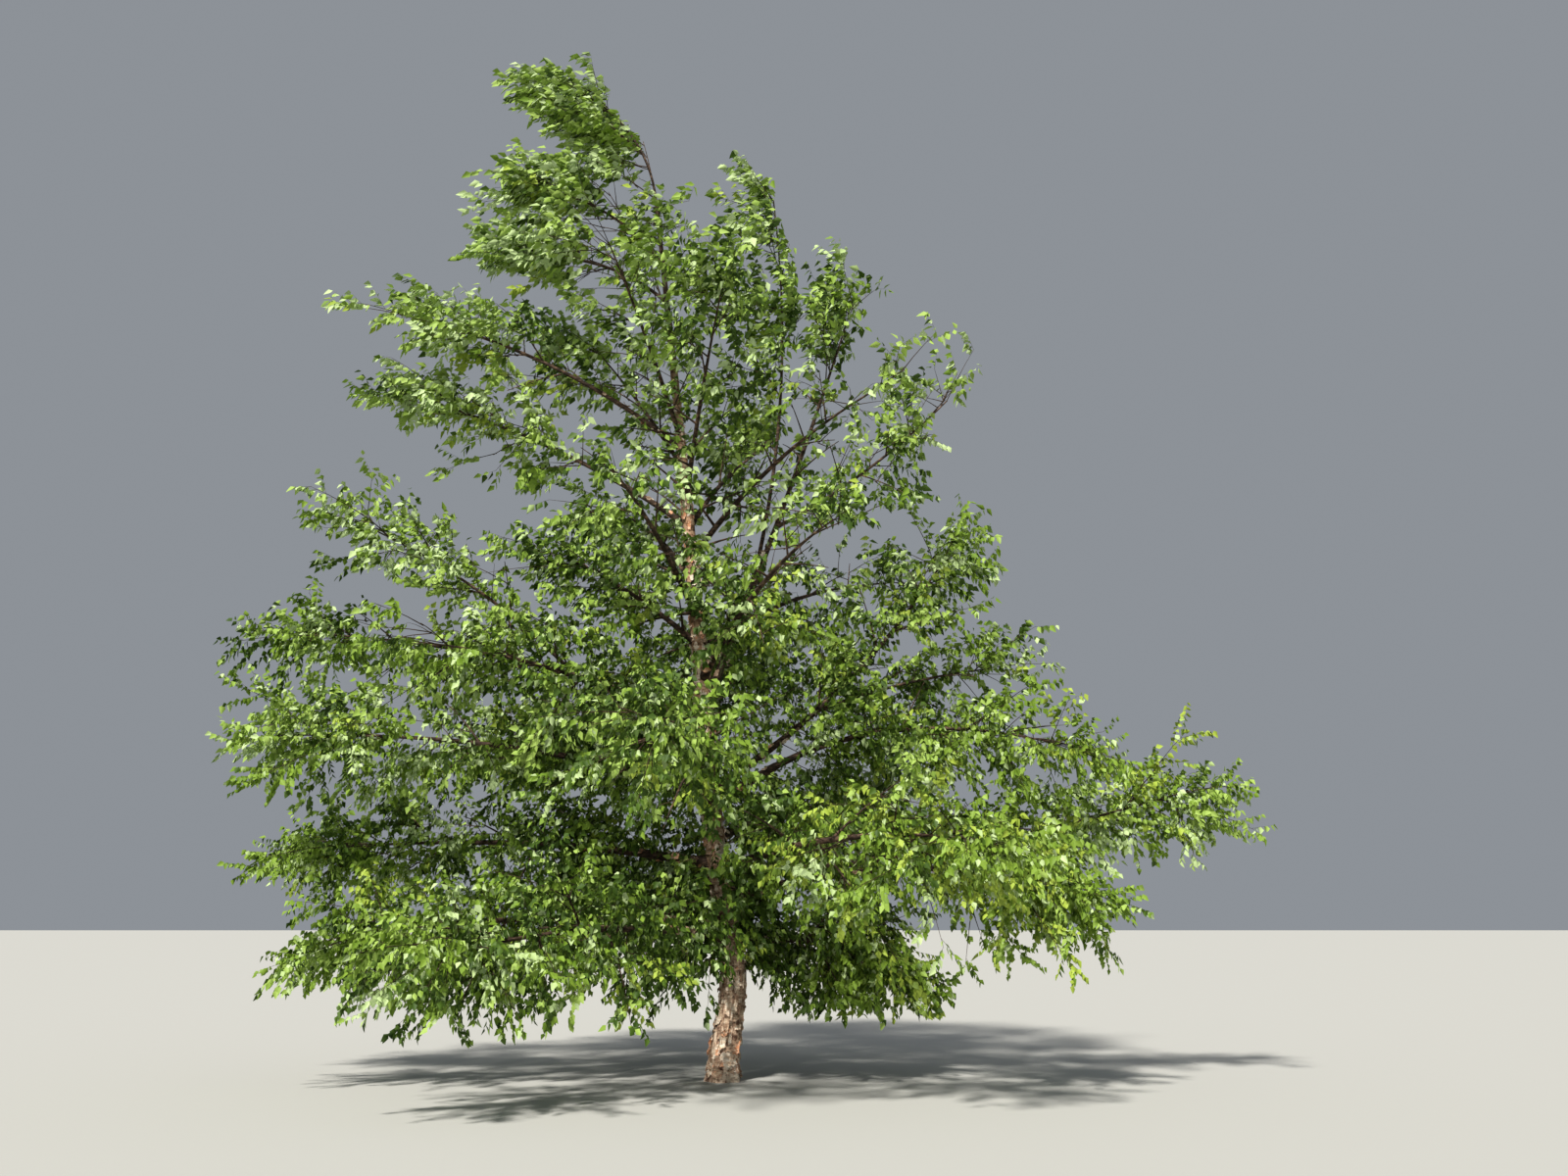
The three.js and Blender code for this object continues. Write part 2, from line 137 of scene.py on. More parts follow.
# Where the crown looks full or, with a minus, open, from EYE: x, z and half sizes in the plane of
# the trunk, and how full
EYE = (0.6, -15.7, 1.6)
PLACES = (
    (-3.6, 6.6, 0.65, 0.4, -0.9),
    (-2.75, 6.3, 0.5, 0.35, -0.8),
    (-4.1, 6, 0.4, 0.4, -0.6),
    (-1.45, 6.5, 0.55, 0.4, -0.45),
    (-4, 8.1, 0.6, 0.4, -0.75),
    (-2.9, 8.4, 0.3, 0.3, -0.6),
    (1.5, 7.1, 0.45, 0.5, -0.6),
    (-1.6, 7.4, 0.6, 0.3, -0.5),
    (-1.5, 8.8, 0.4, 0.6, -0.8),
    (1.2, 5.3, 0.3, 0.4, -0.7),
    (-0.8, 9.8, 0.28, 0.35, -0.9),
    (-1.85, 9.9, 0.32, 0.2, 0.8),
    (-1.15, 9.5, 0.3, 0.3, -0.35),
    (-2.65, 9.85, 0.4, 0.3, -0.95),
    (-1.7, 11, 0.3, 0.25, -0.7),
    (2.75, 3.95, 0.6, 0.25, -0.8),
    (2.25, 1.5, 0.5, 0.5, -0.85),
    (4, 1.9, 0.5, 0.4, -0.6),
    (0.4, 6.25, 0.35, 0.35, -0.4),
    (-3.26, 4.6, 0.45, 0.3, -0.75),
    (1.85, 7.75, 0.35, 0.35, -0.6),
    (2.35, 6.85, 0.3, 0.35, -0.7),
    (2.9, 5.3, 0.25, 0.25, -0.7),
    (-3.3, 3.4, 0.5, 0.2, -0.8),
    (3.15, 3.4, 0.4, 0.2, -0.7),
    (3.9, 3.45, 0.25, 0.25, -0.6),
    (-2, 5.5, 0.35, 0.15, -0.4),
    (-2.5, 3.85, 0.5, 0.2, -0.7),
    (-2.4, 3.4, 0.3, 0.15, -0.6),
    (0.05, 9.5, 0.3, 0.35, -0.6),
    (0, 7.45, 0.4, 0.2, -0.4),
    (3, 4.55, 0.4, 0.3, 1),
    (2.6, 5.5, 0.25, 0.4, 1),
    (2.2, 4.6, 0.4, 0.25, 0.8),
    (-3.05, 5.85, 0.45, 0.35, 1),
    (0.8, 8.8, 0.25, 0.5, 1),
    (2.2, 6.1, 0.3, 0.35, 0.7),
    (-0.47, 9.1, 0.4, 0.3, 1),
    (0.75, 3.9, 0.55, 0.65, 1),
    (-2, 8.2, 0.35, 0.3, 1),
    (1.15, 6.05, 0.3, 0.25, 0.5),
    (-0.4, 7.1, 0.2, 0.2, 0.5),
    (1.75, 7.2, 0.2, 0.2, 0.6),
    (3, 4.6, 0.3, 0.2, 1),
    (0.75, 8.9, 0.15, 0.35, 0.8),
    (-1.1, 2.65, 0.8, 0.45, 1),
    (0, 4, 0.35, 0.5, -0.35),
    (-2.05, 5.9, 0.35, 0.22, 0.8),
    (-2.7, 7.2, 0.35, 0.18, 0.8),
    (-4.15, 4.1, 0.3, 0.2, 0.8),
    (-2.3, 10.3, 0.25, 0.2, 0.8),
)
# Sprays on the trunk: from and to what height, how many and how large, and how far out it is
# judged whose foliage they belong to
TRUNK_SPRAYS = (
    (1.12, 2.2, 76, 0.52),
    (2.3, 3.4, 16, 0.5),
    (7.3, 8.7, 10, 0.45),
    (8.7, 9.34, 16, 0.55),
)
TRUNK_SPRAY_HOLD = 0.2
# Sprays along limbs where the crown is full: how far apart, from what fullness on, and how far
# out they are judged
TUFT_SPACING = 0.07
TUFT_FROM = 0.35
TUFT_HOLD = 0.35
# Each kind of spray draws from seeds of its own
FILL_SEED = 4000
TRUNK_SEED = 7000
TRUNK_STRIDE = 100
INNER_SEED = 9000
INNER_STRIDE = 31
TUFT_SEED = 20000
TUFT_STRIDE = 37

# The share of twigs left out, by height and spray, and more to leeward, to windward and in front
THIN_HEIGHTS = ((3.4, 4.8, 7.2, 8.4), (0.0, 0.45, 0.45, 0.1))
THIN_VARIATION = (0.4, 1.5)
LEE_THIN = 0.48
LEE_PLACE = (-1.15, 0.5)
LEE_HEIGHTS = ((5.0, 5.8, 9.2, 9.8), (0.0, 1.0, 0.8, 0.2))
WINDWARD_THIN = 0.45
WINDWARD_FROM = -0.2
WINDWARD_HEIGHTS = ((2.5, 5.0, 7.4, 8.0), (0.2, 1.0, 1.0, 0.0))
FRONT_THIN = 0.46
FRONT_DEPTHS = ((-2.2, -0.9), (1.0, 0.0))
FRONT_HEIGHTS = ((1.8, 2.6, 5.6, 6.6), (0.0, 1.0, 1.0, 0.0))
# Gaps by which the sun reaches the foot of the trunk and the sprays to its right: a point in
# each, its half width, how open it is, and in front of what y
SUNWARD = np.array([-0.267, -0.599, 0.755])
SUN_GAPS = (((0.05, 0.0, 0.62), 0.5, 0.9, -0.42), ((1.15, -0.4, 1.5), 0.85, 0.6, -1.1))

# The limbs seen from the front. leaves: where it grows from, as a height on the trunk or a share
# of its parent's bare part. turn: 0 is to the right, 90 away from the viewer. rise: its slope at
# the start. reach and top: how far out and how high its leaves come. bare: the share of it that
# is a bough. spread: the half width of its foliage.
LIMB_COLUMNS = ("name", "parent", "leaves", "turn", "rise", "reach", "top", "bare", "spread")
SEEN = (
    ("top", None, 9.32, 178, 84, 2.3, 11.06, 0, 0.84),
    ("left_high", None, 8.6, 196, 50, 2.85, 9.25, 0, 0.62),
    ("left_shoulder", None, 8.15, 160, 45, 3.12, 9.08, 0, 0.64),
    ("left_crest", None, 6.5, 181, 40, 4.25, 8.13, 0.3, 0.76),
    ("left_tip", None, 5.65, 172, 36, 4.15, 7.43, 0.32, 0.8),
    ("left_inner", None, 4.35, 190, 42, 2.4, 5.45, 0, 0.74),
    ("left_long", None, 3.6, 176, 22, 5.08, 4.55, 0.33, 0.9),
    ("left_rising", "left_long", 0.9, 184, 46, 4.4, 5.82, 0, 0.8),
    ("left_shelf", None, 2.85, 188, 16, 5.0, 3.3, 0.3, 0.95),
    ("left_low", None, 2.1, 172, 10, 5.0, 2.2, 0.3, 0.95),
    ("left_skirt", None, 1.5, 190, 6, 4.35, 1.25, 0.3, 0.85),
    ("right_leader", None, 3.7, 8, 68, 1.5, 8.65, 0.5, 0.88),
    ("right_peak", "right_leader", 0.5, 24, 76, 0.42, 10.15, 0, 0.8),
    ("right_upper", "right_leader", 0.8, 354, 26, 2.85, 7.5, 0.2, 0.72),
    ("right_rising", None, 2.85, 4, 32, 2.72, 6.0, 0.36, 0.82),
    ("right_fork", "right_rising", 0.9, 10, 22, 3.56, 4.25, 0, 0.76),
    ("right_fan", None, 2.65, 352, 40, 4.2, 3.0, 0.4, 0.85),
    ("right_long", None, 2.0, 2, 3, 5.38, 3.05, 0.4, 0.72),
    ("right_low", None, 1.75, 345, 16, 4.05, 1.78, 0.58, 0.62),
    ("right_skirt", None, 1.3, 12, 12, 2.28, 0.85, 0.3, 0.7),
)

# The limbs in front of the trunk and behind it in turn, upwards
ROUND = 17
ROUND_LEAVES = (1.38, 6.6)
ROUND_RISE = (7, 58)
ROUND_REACH = (4.6, 2.1)
ROUND_POWER = 1.4
ROUND_VARIATION = (0.92, 1.05)
ROUND_CLIMB = (-0.25, 2.25)
ROUND_SPREAD = (1.0, 0.82)
ROUND_BARE = 0.27
LAST_WITH_BOUGH = 8
SIDES = (("front", 270, 0.2), ("back", 90, 0.65))
ARC = 62
GOLDEN_SHARE = 0.618

UP = np.array([0.0, 0.0, 1.0])
LEEWARD = np.array([-1.0, 0.0, 0.0])
SCATTER = (12.9898, 78.233, 43758.5453)
POINTS_AT_ONCE = 20000
NEARLY_UPRIGHT = 0.9
LATTICE_STRIDE = 17.3


def scatter(seed, n):
    """A repeatable number from 0 to 1 for two numbers or arrays. n tells its uses apart."""
    value = np.sin(np.asarray(seed) * SCATTER[0] + np.asarray(n) * SCATTER[1]) * SCATTER[2]
    return value - np.floor(value)


def mix(a, b, share):
    return a + (b - a) * share


def unit(v):
    return v / np.maximum(np.linalg.norm(v, axis=-1, keepdims=True), 1e-9)


def trunk_point(z):
    z = np.asarray(z, float)
    share = np.abs(z) / TRUNK_TOP
    climb = (z / CROOK_HEIGHT) ** 2
    crook = CROOK * climb * np.exp(1 - climb)
    return np.stack([crook - LEAN * share**LEAN_POWER, SWAY * np.sin(share * SWAY_TURNS), z], -1)


def trunk_radius(z):
    return TRUNK_RADIUS * (1 - z / TAPER_HEIGHT)


def spray_length(z):
    return SPRAY_LENGTH * (1 - SPRAY_SHRINK * z / TRUNK_TOP)


class Limb:
    """The line of a limb, in the upright plane that holds its ends, and its sizes."""

    def __init__(self, row, seed, parent):
        self.name, self.seed, self.spread = row["name"], seed, row["spread"]
        self.bare = row["bare"]
        leaves = row["leaves"]
        self.start = parent.path(parent.bare * leaves) if parent else trunk_point(leaves)
        parent_radius = parent.radius(parent.bare * leaves) if parent else trunk_radius(leaves)
        turn, rise = math.radians(row["turn"]), math.radians(row["rise"])
        reach = row["reach"]
        self.tip = np.array([reach * math.cos(turn), reach * math.sin(turn), row["top"]])
        outward = unit((self.tip - self.start) * [1, 1, 0])
        self.length = float(np.linalg.norm(self.tip - self.start))
        forward = outward * math.cos(rise) + UP * math.sin(rise)
        self.bend = self.start + forward * self.length * BEND_PLACE
        self.girth = min(
            parent_radius * GIRTH_OF_PARENT + self.length * GIRTH_OF_LENGTH,
            parent_radius * MOST_OF_PARENT,
        )
        self.end = 1 - spray_length(row["top"]) * SPRAY_PAST_STEM / self.length
        self.side = np.cross(UP, outward)

    def path(self, share):
        s = np.asarray(share, float)[..., None]
        return (1 - s) ** 2 * self.start + 2 * s * (1 - s) * self.bend + s**2 * self.tip

    def tangent(self, share):
        s = np.asarray(share, float)[..., None]
        return unit((1 - s) * (self.bend - self.start) + s * (self.tip - self.bend))

    def radius(self, share):
        return mix(self.girth, STEM_END_RADIUS, np.minimum(1, share / self.end) ** TAPER)


def round_rows():
    """The limbs in front of and behind the trunk, by the sizes above."""
    for k in range(ROUND):
        side, turn, first = SIDES[k % 2]
        n, climb = k // 2, k / (ROUND - 1)
        leaves = mix(*ROUND_LEAVES, climb)
        vary = mix(*ROUND_VARIATION, float(scatter(k, 3)))
        yield dict(
            name=f"{side}_{n + 1}",
            parent=None,
            leaves=leaves,
            turn=turn + ARC * (2 * ((first + n * GOLDEN_SHARE) % 1) - 1),
            rise=mix(*ROUND_RISE, climb),
            reach=mix(*ROUND_REACH, climb**ROUND_POWER) * vary,
            top=leaves + mix(*ROUND_CLIMB, climb),
            bare=0 if k > LAST_WITH_BOUGH else ROUND_BARE,
            spread=mix(*ROUND_SPREAD, climb),
        )


limbs = []
seen_rows = [dict(zip(LIMB_COLUMNS, values)) for values in SEEN]
for order, row in enumerate([*seen_rows, *round_rows()]):
    parent = next((x for x in limbs if x.name == row["parent"]), None)
    limbs.append(Limb(row, order + SEED, parent))

samples = np.concatenate([x.path(np.linspace(x.bare, 1, STEM_SAMPLES)) for x in limbs])
spreads = np.array([x.spread for x in limbs])


def owner(points):
    """The limb whose foliage each point is nearest, in half widths of that foliage."""
    owners = np.empty(len(points), int)
    for first in range(0, len(points), POINTS_AT_ONCE):
        p = points[first : first + POINTS_AT_ONCE]
        squares = (p**2).sum(1)[:, None] + (samples**2).sum(1) - 2 * p @ samples.T
        near = np.sqrt(np.maximum(squares, 0)).reshape(len(p), len(limbs), STEM_SAMPLES).min(2)
        owners[first : first + POINTS_AT_ONCE] = (near / spreads).argmin(1)
    return owners


def combed(direction, z, breeze=1.0):
    """A direction combed to leeward and up towards the light, more so with height."""
    height = max(float(z), 0) / TRUNK_TOP
    wind = LEEWARD * WIND * breeze * height**WIND_POWER
    return unit(direction + wind + UP * mix(DROOP, LIFT, height))


def aside(tangent, side, roll, degrees):
    """A way out of a limb at an angle to it, turned about it by roll from its side."""
    over = unit(np.cross(tangent, side))
    angle = math.radians(degrees)
    out = side * math.cos(roll) + over * math.sin(roll)
    return tangent * math.cos(angle) + out * math.sin(angle)


def fullness(points):
    """For each of PLACES how full it is and how much each point lies in it, as seen from EYE."""
    nearer = EYE[1] / (EYE[1] - points[..., 1])
    x = EYE[0] + (points[..., 0] - EYE[0]) * nearer
    z = EYE[2] + (points[..., 2] - EYE[2]) * nearer
    for px, pz, wide, high, full in PLACES:
        yield full, np.exp(-(((x - px) / wide) ** 2) - ((z - pz) / high) ** 2)


# ---- the growth rules: shoots on stems, branchlets on both
def grow():
    shoots, sprays = [], []

    def fill(index, root, along, seed, size):
        height = max(root[2], 0) / TRUNK_TOP
        if scatter(seed, 61) < mix(*FILL_THINNING, height):
            along = combed(along + UP * mix(*FILL_LIFT, height), root[2], FILL_BREEZE)
            sprays.append((index, root, along, seed, size))

    for index, limb in enumerate(limbs):
        for n, degrees in enumerate(STEM_SPRAYS):
            turn = math.radians(degrees)
            straight = limb.tangent(limb.end) * math.cos(turn) + limb.side * math.sin(turn)
            root = limb.path(limb.end - STEM_SPRAY_INSET / limb.length)
            seed = limb.seed + n * len(limbs)
            sprays.append((index, root, combed(straight, root[2]), seed, 1))
        for k in range(SHOOTS):
            place = (k + mix(*SHOOT_JITTER, float(scatter(limb.seed, k)))) / SHOOTS
            share = mix(limb.bare, limb.end, place)
            start, tangent = limb.path(share), limb.tangent(share)
            over = unit(np.cross(tangent, limb.side))
            roll = k * GOLDEN_ANGLE + limb.seed
            lateral = unit(limb.side * math.cos(roll) + over * math.sin(roll) * FLATNESS)
            angle = math.radians(mix(*SHOOT_ANGLES, place))
            direction = combed(tangent * math.cos(angle) + lateral * math.sin(angle), start[2])
            vary = mix(*SHOOT_VARIATION, float(scatter(limb.seed, k + SHOOTS)))
            end = start + direction * limb.spread * mix(*SHOOT_LENGTHS, place) * vary
            seed = limb.seed * SHOOTS + k
            shoots.append((start, end, float(limb.radius(share)) * SHOOT_OF_STEM))
            side = unit(np.cross(UP, direction))
            for n, where in enumerate(SPRAY_PLACES):
                turn = math.radians(SPRAY_ANGLES[n] + (float(scatter(seed, n)) - 0.5) * SPRAY_SWAY)
                along = direction * math.cos(turn) + side * math.sin(turn)
                root = mix(start, end, where)
                spray_seed = seed * len(SPRAY_PLACES) + n
                sprays.append((index, root, combed(along, start[2]), spray_seed, 1))
            for n, where in enumerate(FILL_PLACES):
                along = aside(direction, side, (2 * n + 1) * GOLDEN_ANGLE + seed, FILL_ANGLE)
                fill_seed = seed * (len(FILL_PLACES) + 1) + n + FILL_SEED
                fill(index, mix(start, end, where), along, fill_seed, FILL_SIZE)
        fills = [(limb.bare, limb.end, k, STEM_FILLS, FILL_SIZE) for k in range(STEM_FILLS)]
        if limb.bare:
            near = min(INNER_FROM / limb.length, limb.bare)
            spacing = float(np.interp(limb.start[2], INNER_HEIGHTS, INNER_SPACINGS))
            if index >= len(SEEN):
                spacing = ROUND_INNER_SPACING
            inner = round((limb.bare - near) * limb.length / spacing)
            fills += [(near, limb.bare, k, inner, INNER_SIZE) for k in range(inner)]
        for near, far, k, count, size in fills:
            place = (k + 0.5) / count
            share = mix(near, far, place)
            root, tangent = limb.path(share), limb.tangent(share)
            roll = k * GOLDEN_ANGLE + limb.seed + 2
            along = aside(tangent, limb.side, roll, mix(*STEM_FILL_ANGLES, place))
            seed = limb.seed * INNER_STRIDE + k + INNER_SEED * size
            fill(index, root, along, seed, size)
    for index, limb in enumerate(limbs):
        for k in range(int(limb.length * limb.end / TUFT_SPACING)):
            share = (k + 0.5) * TUFT_SPACING / limb.length
            root = limb.path(share)
            if max(full * inside for full, inside in fullness(root) if full > 0) > TUFT_FROM:
                roll = k * GOLDEN_ANGLE + limb.seed
                along = aside(limb.tangent(share), limb.side, roll, STEM_FILL_ANGLES[0])
                holder = int(owner((root + along * TUFT_HOLD)[None])[0])
                seed = limb.seed * TUFT_STRIDE + k + TUFT_SEED
                fill(holder, root, along, seed, INNER_SIZE)
    for low, high, count, size in TRUNK_SPRAYS:
        for k in range(count):
            z = mix(low, high, (k + 0.5) / count)
            turn = k * GOLDEN_ANGLE
            out = np.array([math.cos(turn), math.sin(turn), 0.0])
            root = trunk_point(z) + out * trunk_radius(z)
            index = int(owner((root + out * TRUNK_SPRAY_HOLD)[None])[0])
            seed = TRUNK_SEED + k + TRUNK_STRIDE * low
            sprays.append((index, root, combed(out, z, FILL_BREEZE), seed, size))
    return shoots, sprays


# ---- meshes from arrays
class Heap:
    """Vertices and faces gathered for one piece."""

    def __init__(self, *parts):
        self.points, self.faces, self.count = [], [], 0
        for part in parts:
            self.add(*part)

    def add(self, points, faces):
        points = np.asarray(points, float).reshape(-1, 3)
        self.faces.append(np.asarray(faces, int) + self.count)
        self.points.append(points)
        self.count += len(points)

    def add_limb(self, limb, share, radii, sides):
        self.add(*tubes(limb.path(share)[None], radii[None], sides, limb.side[None]))


def rings(direction, across, sides):
    """The ways out of each line of direction, in even steps about it from across."""
    over = np.cross(direction, across)
    turn = np.arange(sides) * 2 * math.pi / sides
    return across[..., None, :] * np.cos(turn)[:, None] + over[..., None, :] * np.sin(turn)[:, None]


def tubes(points, radii, sides, across):
    """Tubes along (m, k, 3) points with (m, k) or (m, k, sides) radii: (vertices, quads)."""
    m, k = points.shape[:2]
    tangent = unit(np.gradient(points, axis=1))
    across = unit(across[:, None] - (across[:, None] * tangent).sum(-1, keepdims=True) * tangent)
    radii = np.broadcast_to(radii[..., None] if radii.ndim == 2 else radii, (m, k, sides))
    vertices = points[:, :, None] + rings(tangent, across, sides) * radii[..., None]
    i, j, t = np.meshgrid(np.arange(sides), np.arange(k - 1), np.arange(m), indexing="ij")
    first = (t * k + j) * sides + i
    second = (t * k + j) * sides + (i + 1) % sides
    quads = np.stack([first, second, sides + second, sides + first], -1)
    return vertices.reshape(-1, 3), quads.reshape(-1, 4)


def cones(starts, ends, radius, sides):
    """A thin cone from each start to each end."""
    direction = unit(ends - starts)
    upright = np.abs(direction[:, 2:]) > NEARLY_UPRIGHT
    across = unit(np.cross(direction, np.where(upright, [[1.0, 0, 0]], [[0, 0, 1.0]])))
    base = starts[:, None] + rings(direction, across, sides) * radius
    vertices = np.concatenate([base, ends[:, None]], 1)
    i = np.arange(sides)
    corners = np.stack([i, (i + 1) % sides, np.full(sides, sides)], 1)
    faces = np.arange(len(starts))[:, None, None] * (sides + 1) + corners
    return vertices.reshape(-1, 3), faces.reshape(-1, 3)


def new_object(name, data):
    made = bpy.data.objects.new(name, data)
    bpy.context.scene.collection.objects.link(made)
    return made


def make_piece(name, heap, material, nodes=(), smooth=True):
    """One object of all that a heap holds, in place of the solids named in nodes."""
    mesh = bpy.data.meshes.new(name)
    points = np.concatenate(heap.points)
    sizes = np.concatenate([np.full(len(f), f.shape[1]) for f in heap.faces])
    corners = np.concatenate([f.reshape(-1) for f in heap.faces])
    mesh.vertices.add(len(points))
    mesh.vertices.foreach_set("co", points.astype(np.float32).reshape(-1))
    mesh.loops.add(len(corners))
    mesh.loops.foreach_set("vertex_index", corners.astype(np.int32))
    mesh.polygons.add(len(sizes))
    starts = np.concatenate([[0], np.cumsum(sizes)[:-1]])
    mesh.polygons.foreach_set("loop_start", starts.astype(np.int32))
    mesh.update(calc_edges=True)
    if smooth:
        mesh.shade_smooth()
    mesh.materials.append(material)
    piece = new_object(name, mesh)
    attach(piece, "root")
    if nodes:
        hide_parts(*nodes)


def lattice(around, along, cells, seed):
    """Smooth noise from 0 to 1, periodic once around, on a lattice of that many cells around."""
    u, v = np.asarray(around) * cells, np.asarray(along)
    iu, iv = np.floor(u), np.floor(v)
    fu, fv = u - iu, v - iv
    fu, fv = fu * fu * (3 - 2 * fu), fv * fv * (3 - 2 * fv)

    def corner(a, b):
        return scatter((iu + a) % cells + LATTICE_STRIDE * seed, iv + b)

    low = mix(corner(0, 0), corner(1, 0), fu)
    high = mix(corner(0, 1), corner(1, 1), fu)
    return mix(low, high, fv)


# ---- bark
# Layers of relief: cells a metre along a limb, cells around it, and the layer's share
PLATES = (9, 11, 0.55)
FLAKES = (34, 17, 0.3)
GRAIN = (70, 31, 0.15)
# The edges of the plates wander by this share of a turn, over cells of that size
WANDER = (6, 7, 0.02)
TRUNK_SIDES = 60
# Rings of the trunk's mesh: from and to what height, and how many
TRUNK_RINGS = ((0, 1.6, 110), (1.6, 5, 130), (5, TRUNK_TOP, 90))
TRUNK_ROUGH = ((0, 1.4, 3.5, TRUNK_TOP), (0.017, 0.013, 0.007, 0.002))
TIP_NARROWING = 0.5


def bark_relief(around, metres, girth, seed):
    """How far the bark stands out, as a share of the girth's own roughness."""

    def layer(cells, seed, turn=around):
        return lattice(turn, metres * cells[0], cells[1], seed)

    plates = layer(PLATES, seed + 1, around + WANDER[2] * layer(WANDER, seed))
    ridge = np.abs(plates - 0.5) * 2
    relief = PLATES[2] * ridge + FLAKES[2] * layer(FLAKES, seed + 2)
    return (relief + GRAIN[2] * layer(GRAIN, seed + 3) - 0.5) * girth


def trunk_skin(turn, z):
    """Points of the trunk's plain surface, flared at the foot, and the way out of it."""
    out = np.stack([np.cos(turn), np.sin(turn), np.zeros_like(turn)], -1)
    flare = FLARE * np.exp(-z / FLARE_HEIGHT) * (1 - LOBE_DEPTH * np.cos(FLARE_LOBES * turn))
    return trunk_point(z) + out * (trunk_radius(z) + flare)[..., None], out


def trunk_mesh():
    """The trunk with its bark's relief, flat at the foot."""
    z = np.concatenate([[0.0]] + [np.linspace(*row)[1:] for row in TRUNK_RINGS])
    turn = np.arange(TRUNK_SIDES) * 2 * math.pi / TRUNK_SIDES
    zz, tt = np.meshgrid(z, turn, indexing="ij")
    surface, out = trunk_skin(tt, zz)
    relief = bark_relief(tt / (2 * math.pi), zz, np.interp(zz, *TRUNK_ROUGH), 1)
    vertices = surface + out * relief[..., None]
    vertices[0, :, 2] = 0
    vertices[-1] = mix(vertices[-1], trunk_point(TRUNK_TOP), TIP_NARROWING)
    j, i = np.meshgrid(np.arange(len(z) - 1), np.arange(TRUNK_SIDES), indexing="ij")
    first = j * TRUNK_SIDES + i
    second = j * TRUNK_SIDES + (i + 1) % TRUNK_SIDES
    quads = np.stack([first, second, second + TRUNK_SIDES, first + TRUNK_SIDES], -1)
    return Heap((vertices, quads.reshape(-1, 4)))


# Torn sheets of bark: in shares of their half sizes how torn, ragged, slanted and rounded they
# are, where they begin to roll and about what radius, then how far they roll and stand off
SHEET_TORN = 0.35
SHEET_RAGGED = 0.5
SHEET_SLANT = 0.7
SHEET_ROUNDING = 0.35
SHEET_HINGES = (0.0, 0.8)
SHEET_BENDS = (0.2, 0.7)
SHEET_MOST_ROLL = 2.4
SHEET_STANDOFF = (0.003, 0.004)
SHEET_LOOSE_ENDS = 0.016 / 0.06
# On the trunk: how many, over what heights, how crowded to the foot, their scale by height,
# their half sizes, and below what numbers they are cream and tan
TRUNK_SHEETS = 900
TRUNK_SHEET_HEIGHTS = (0.07, 6.97)
TRUNK_SHEET_CROWDING = 1.5
TRUNK_SHEET_SCALES = ((0, 3, 7), (1.0, 0.85, 0.5))
TRUNK_SHEET_WIDTHS = (0.012, 0.052)
TRUNK_SHEET_LENGTHS = (0.02, 0.12)
TRUNK_SHEET_SHORTNESS = 1.7
TRUNK_SHEET_FOOT = 0.012
TRUNK_SHEET_GRID = 7
TRUNK_TONES = (0.48, 0.9)
TRUNK_SALMON_HEIGHTS = ((1, 4), (0, 0.14))
# Boughs: the steps of their mesh, the collar at the trunk, and the roughness of their bark, in
# metres and as a share of their girth at most
BOUGH_SIDES = 16
BOUGH_STEP = 0.03
LEAST_BOUGH_STEPS = 12
COLLAR = 0.45
COLLAR_LENGTH = 0.12
BOUGH_ROUGH = (0.005, 0.12)
# The sheets on them: how many a metre, how far from the ends, how crowded to the trunk, their
# half widths in girths, their half lengths, and their tones as above
BOUGH_SHEETS = 12
BOUGH_SHEET_INSETS = (0.15, 0.08)
BOUGH_SHEET_CROWDING = 1.4
BOUGH_SHEET_WIDTHS = (0.35, 0.9)
BOUGH_SHEET_LENGTHS = (0.02, 0.06)
BOUGH_SHEET_GRID = 5
BOUGH_TONES = (0.25, 0.7)


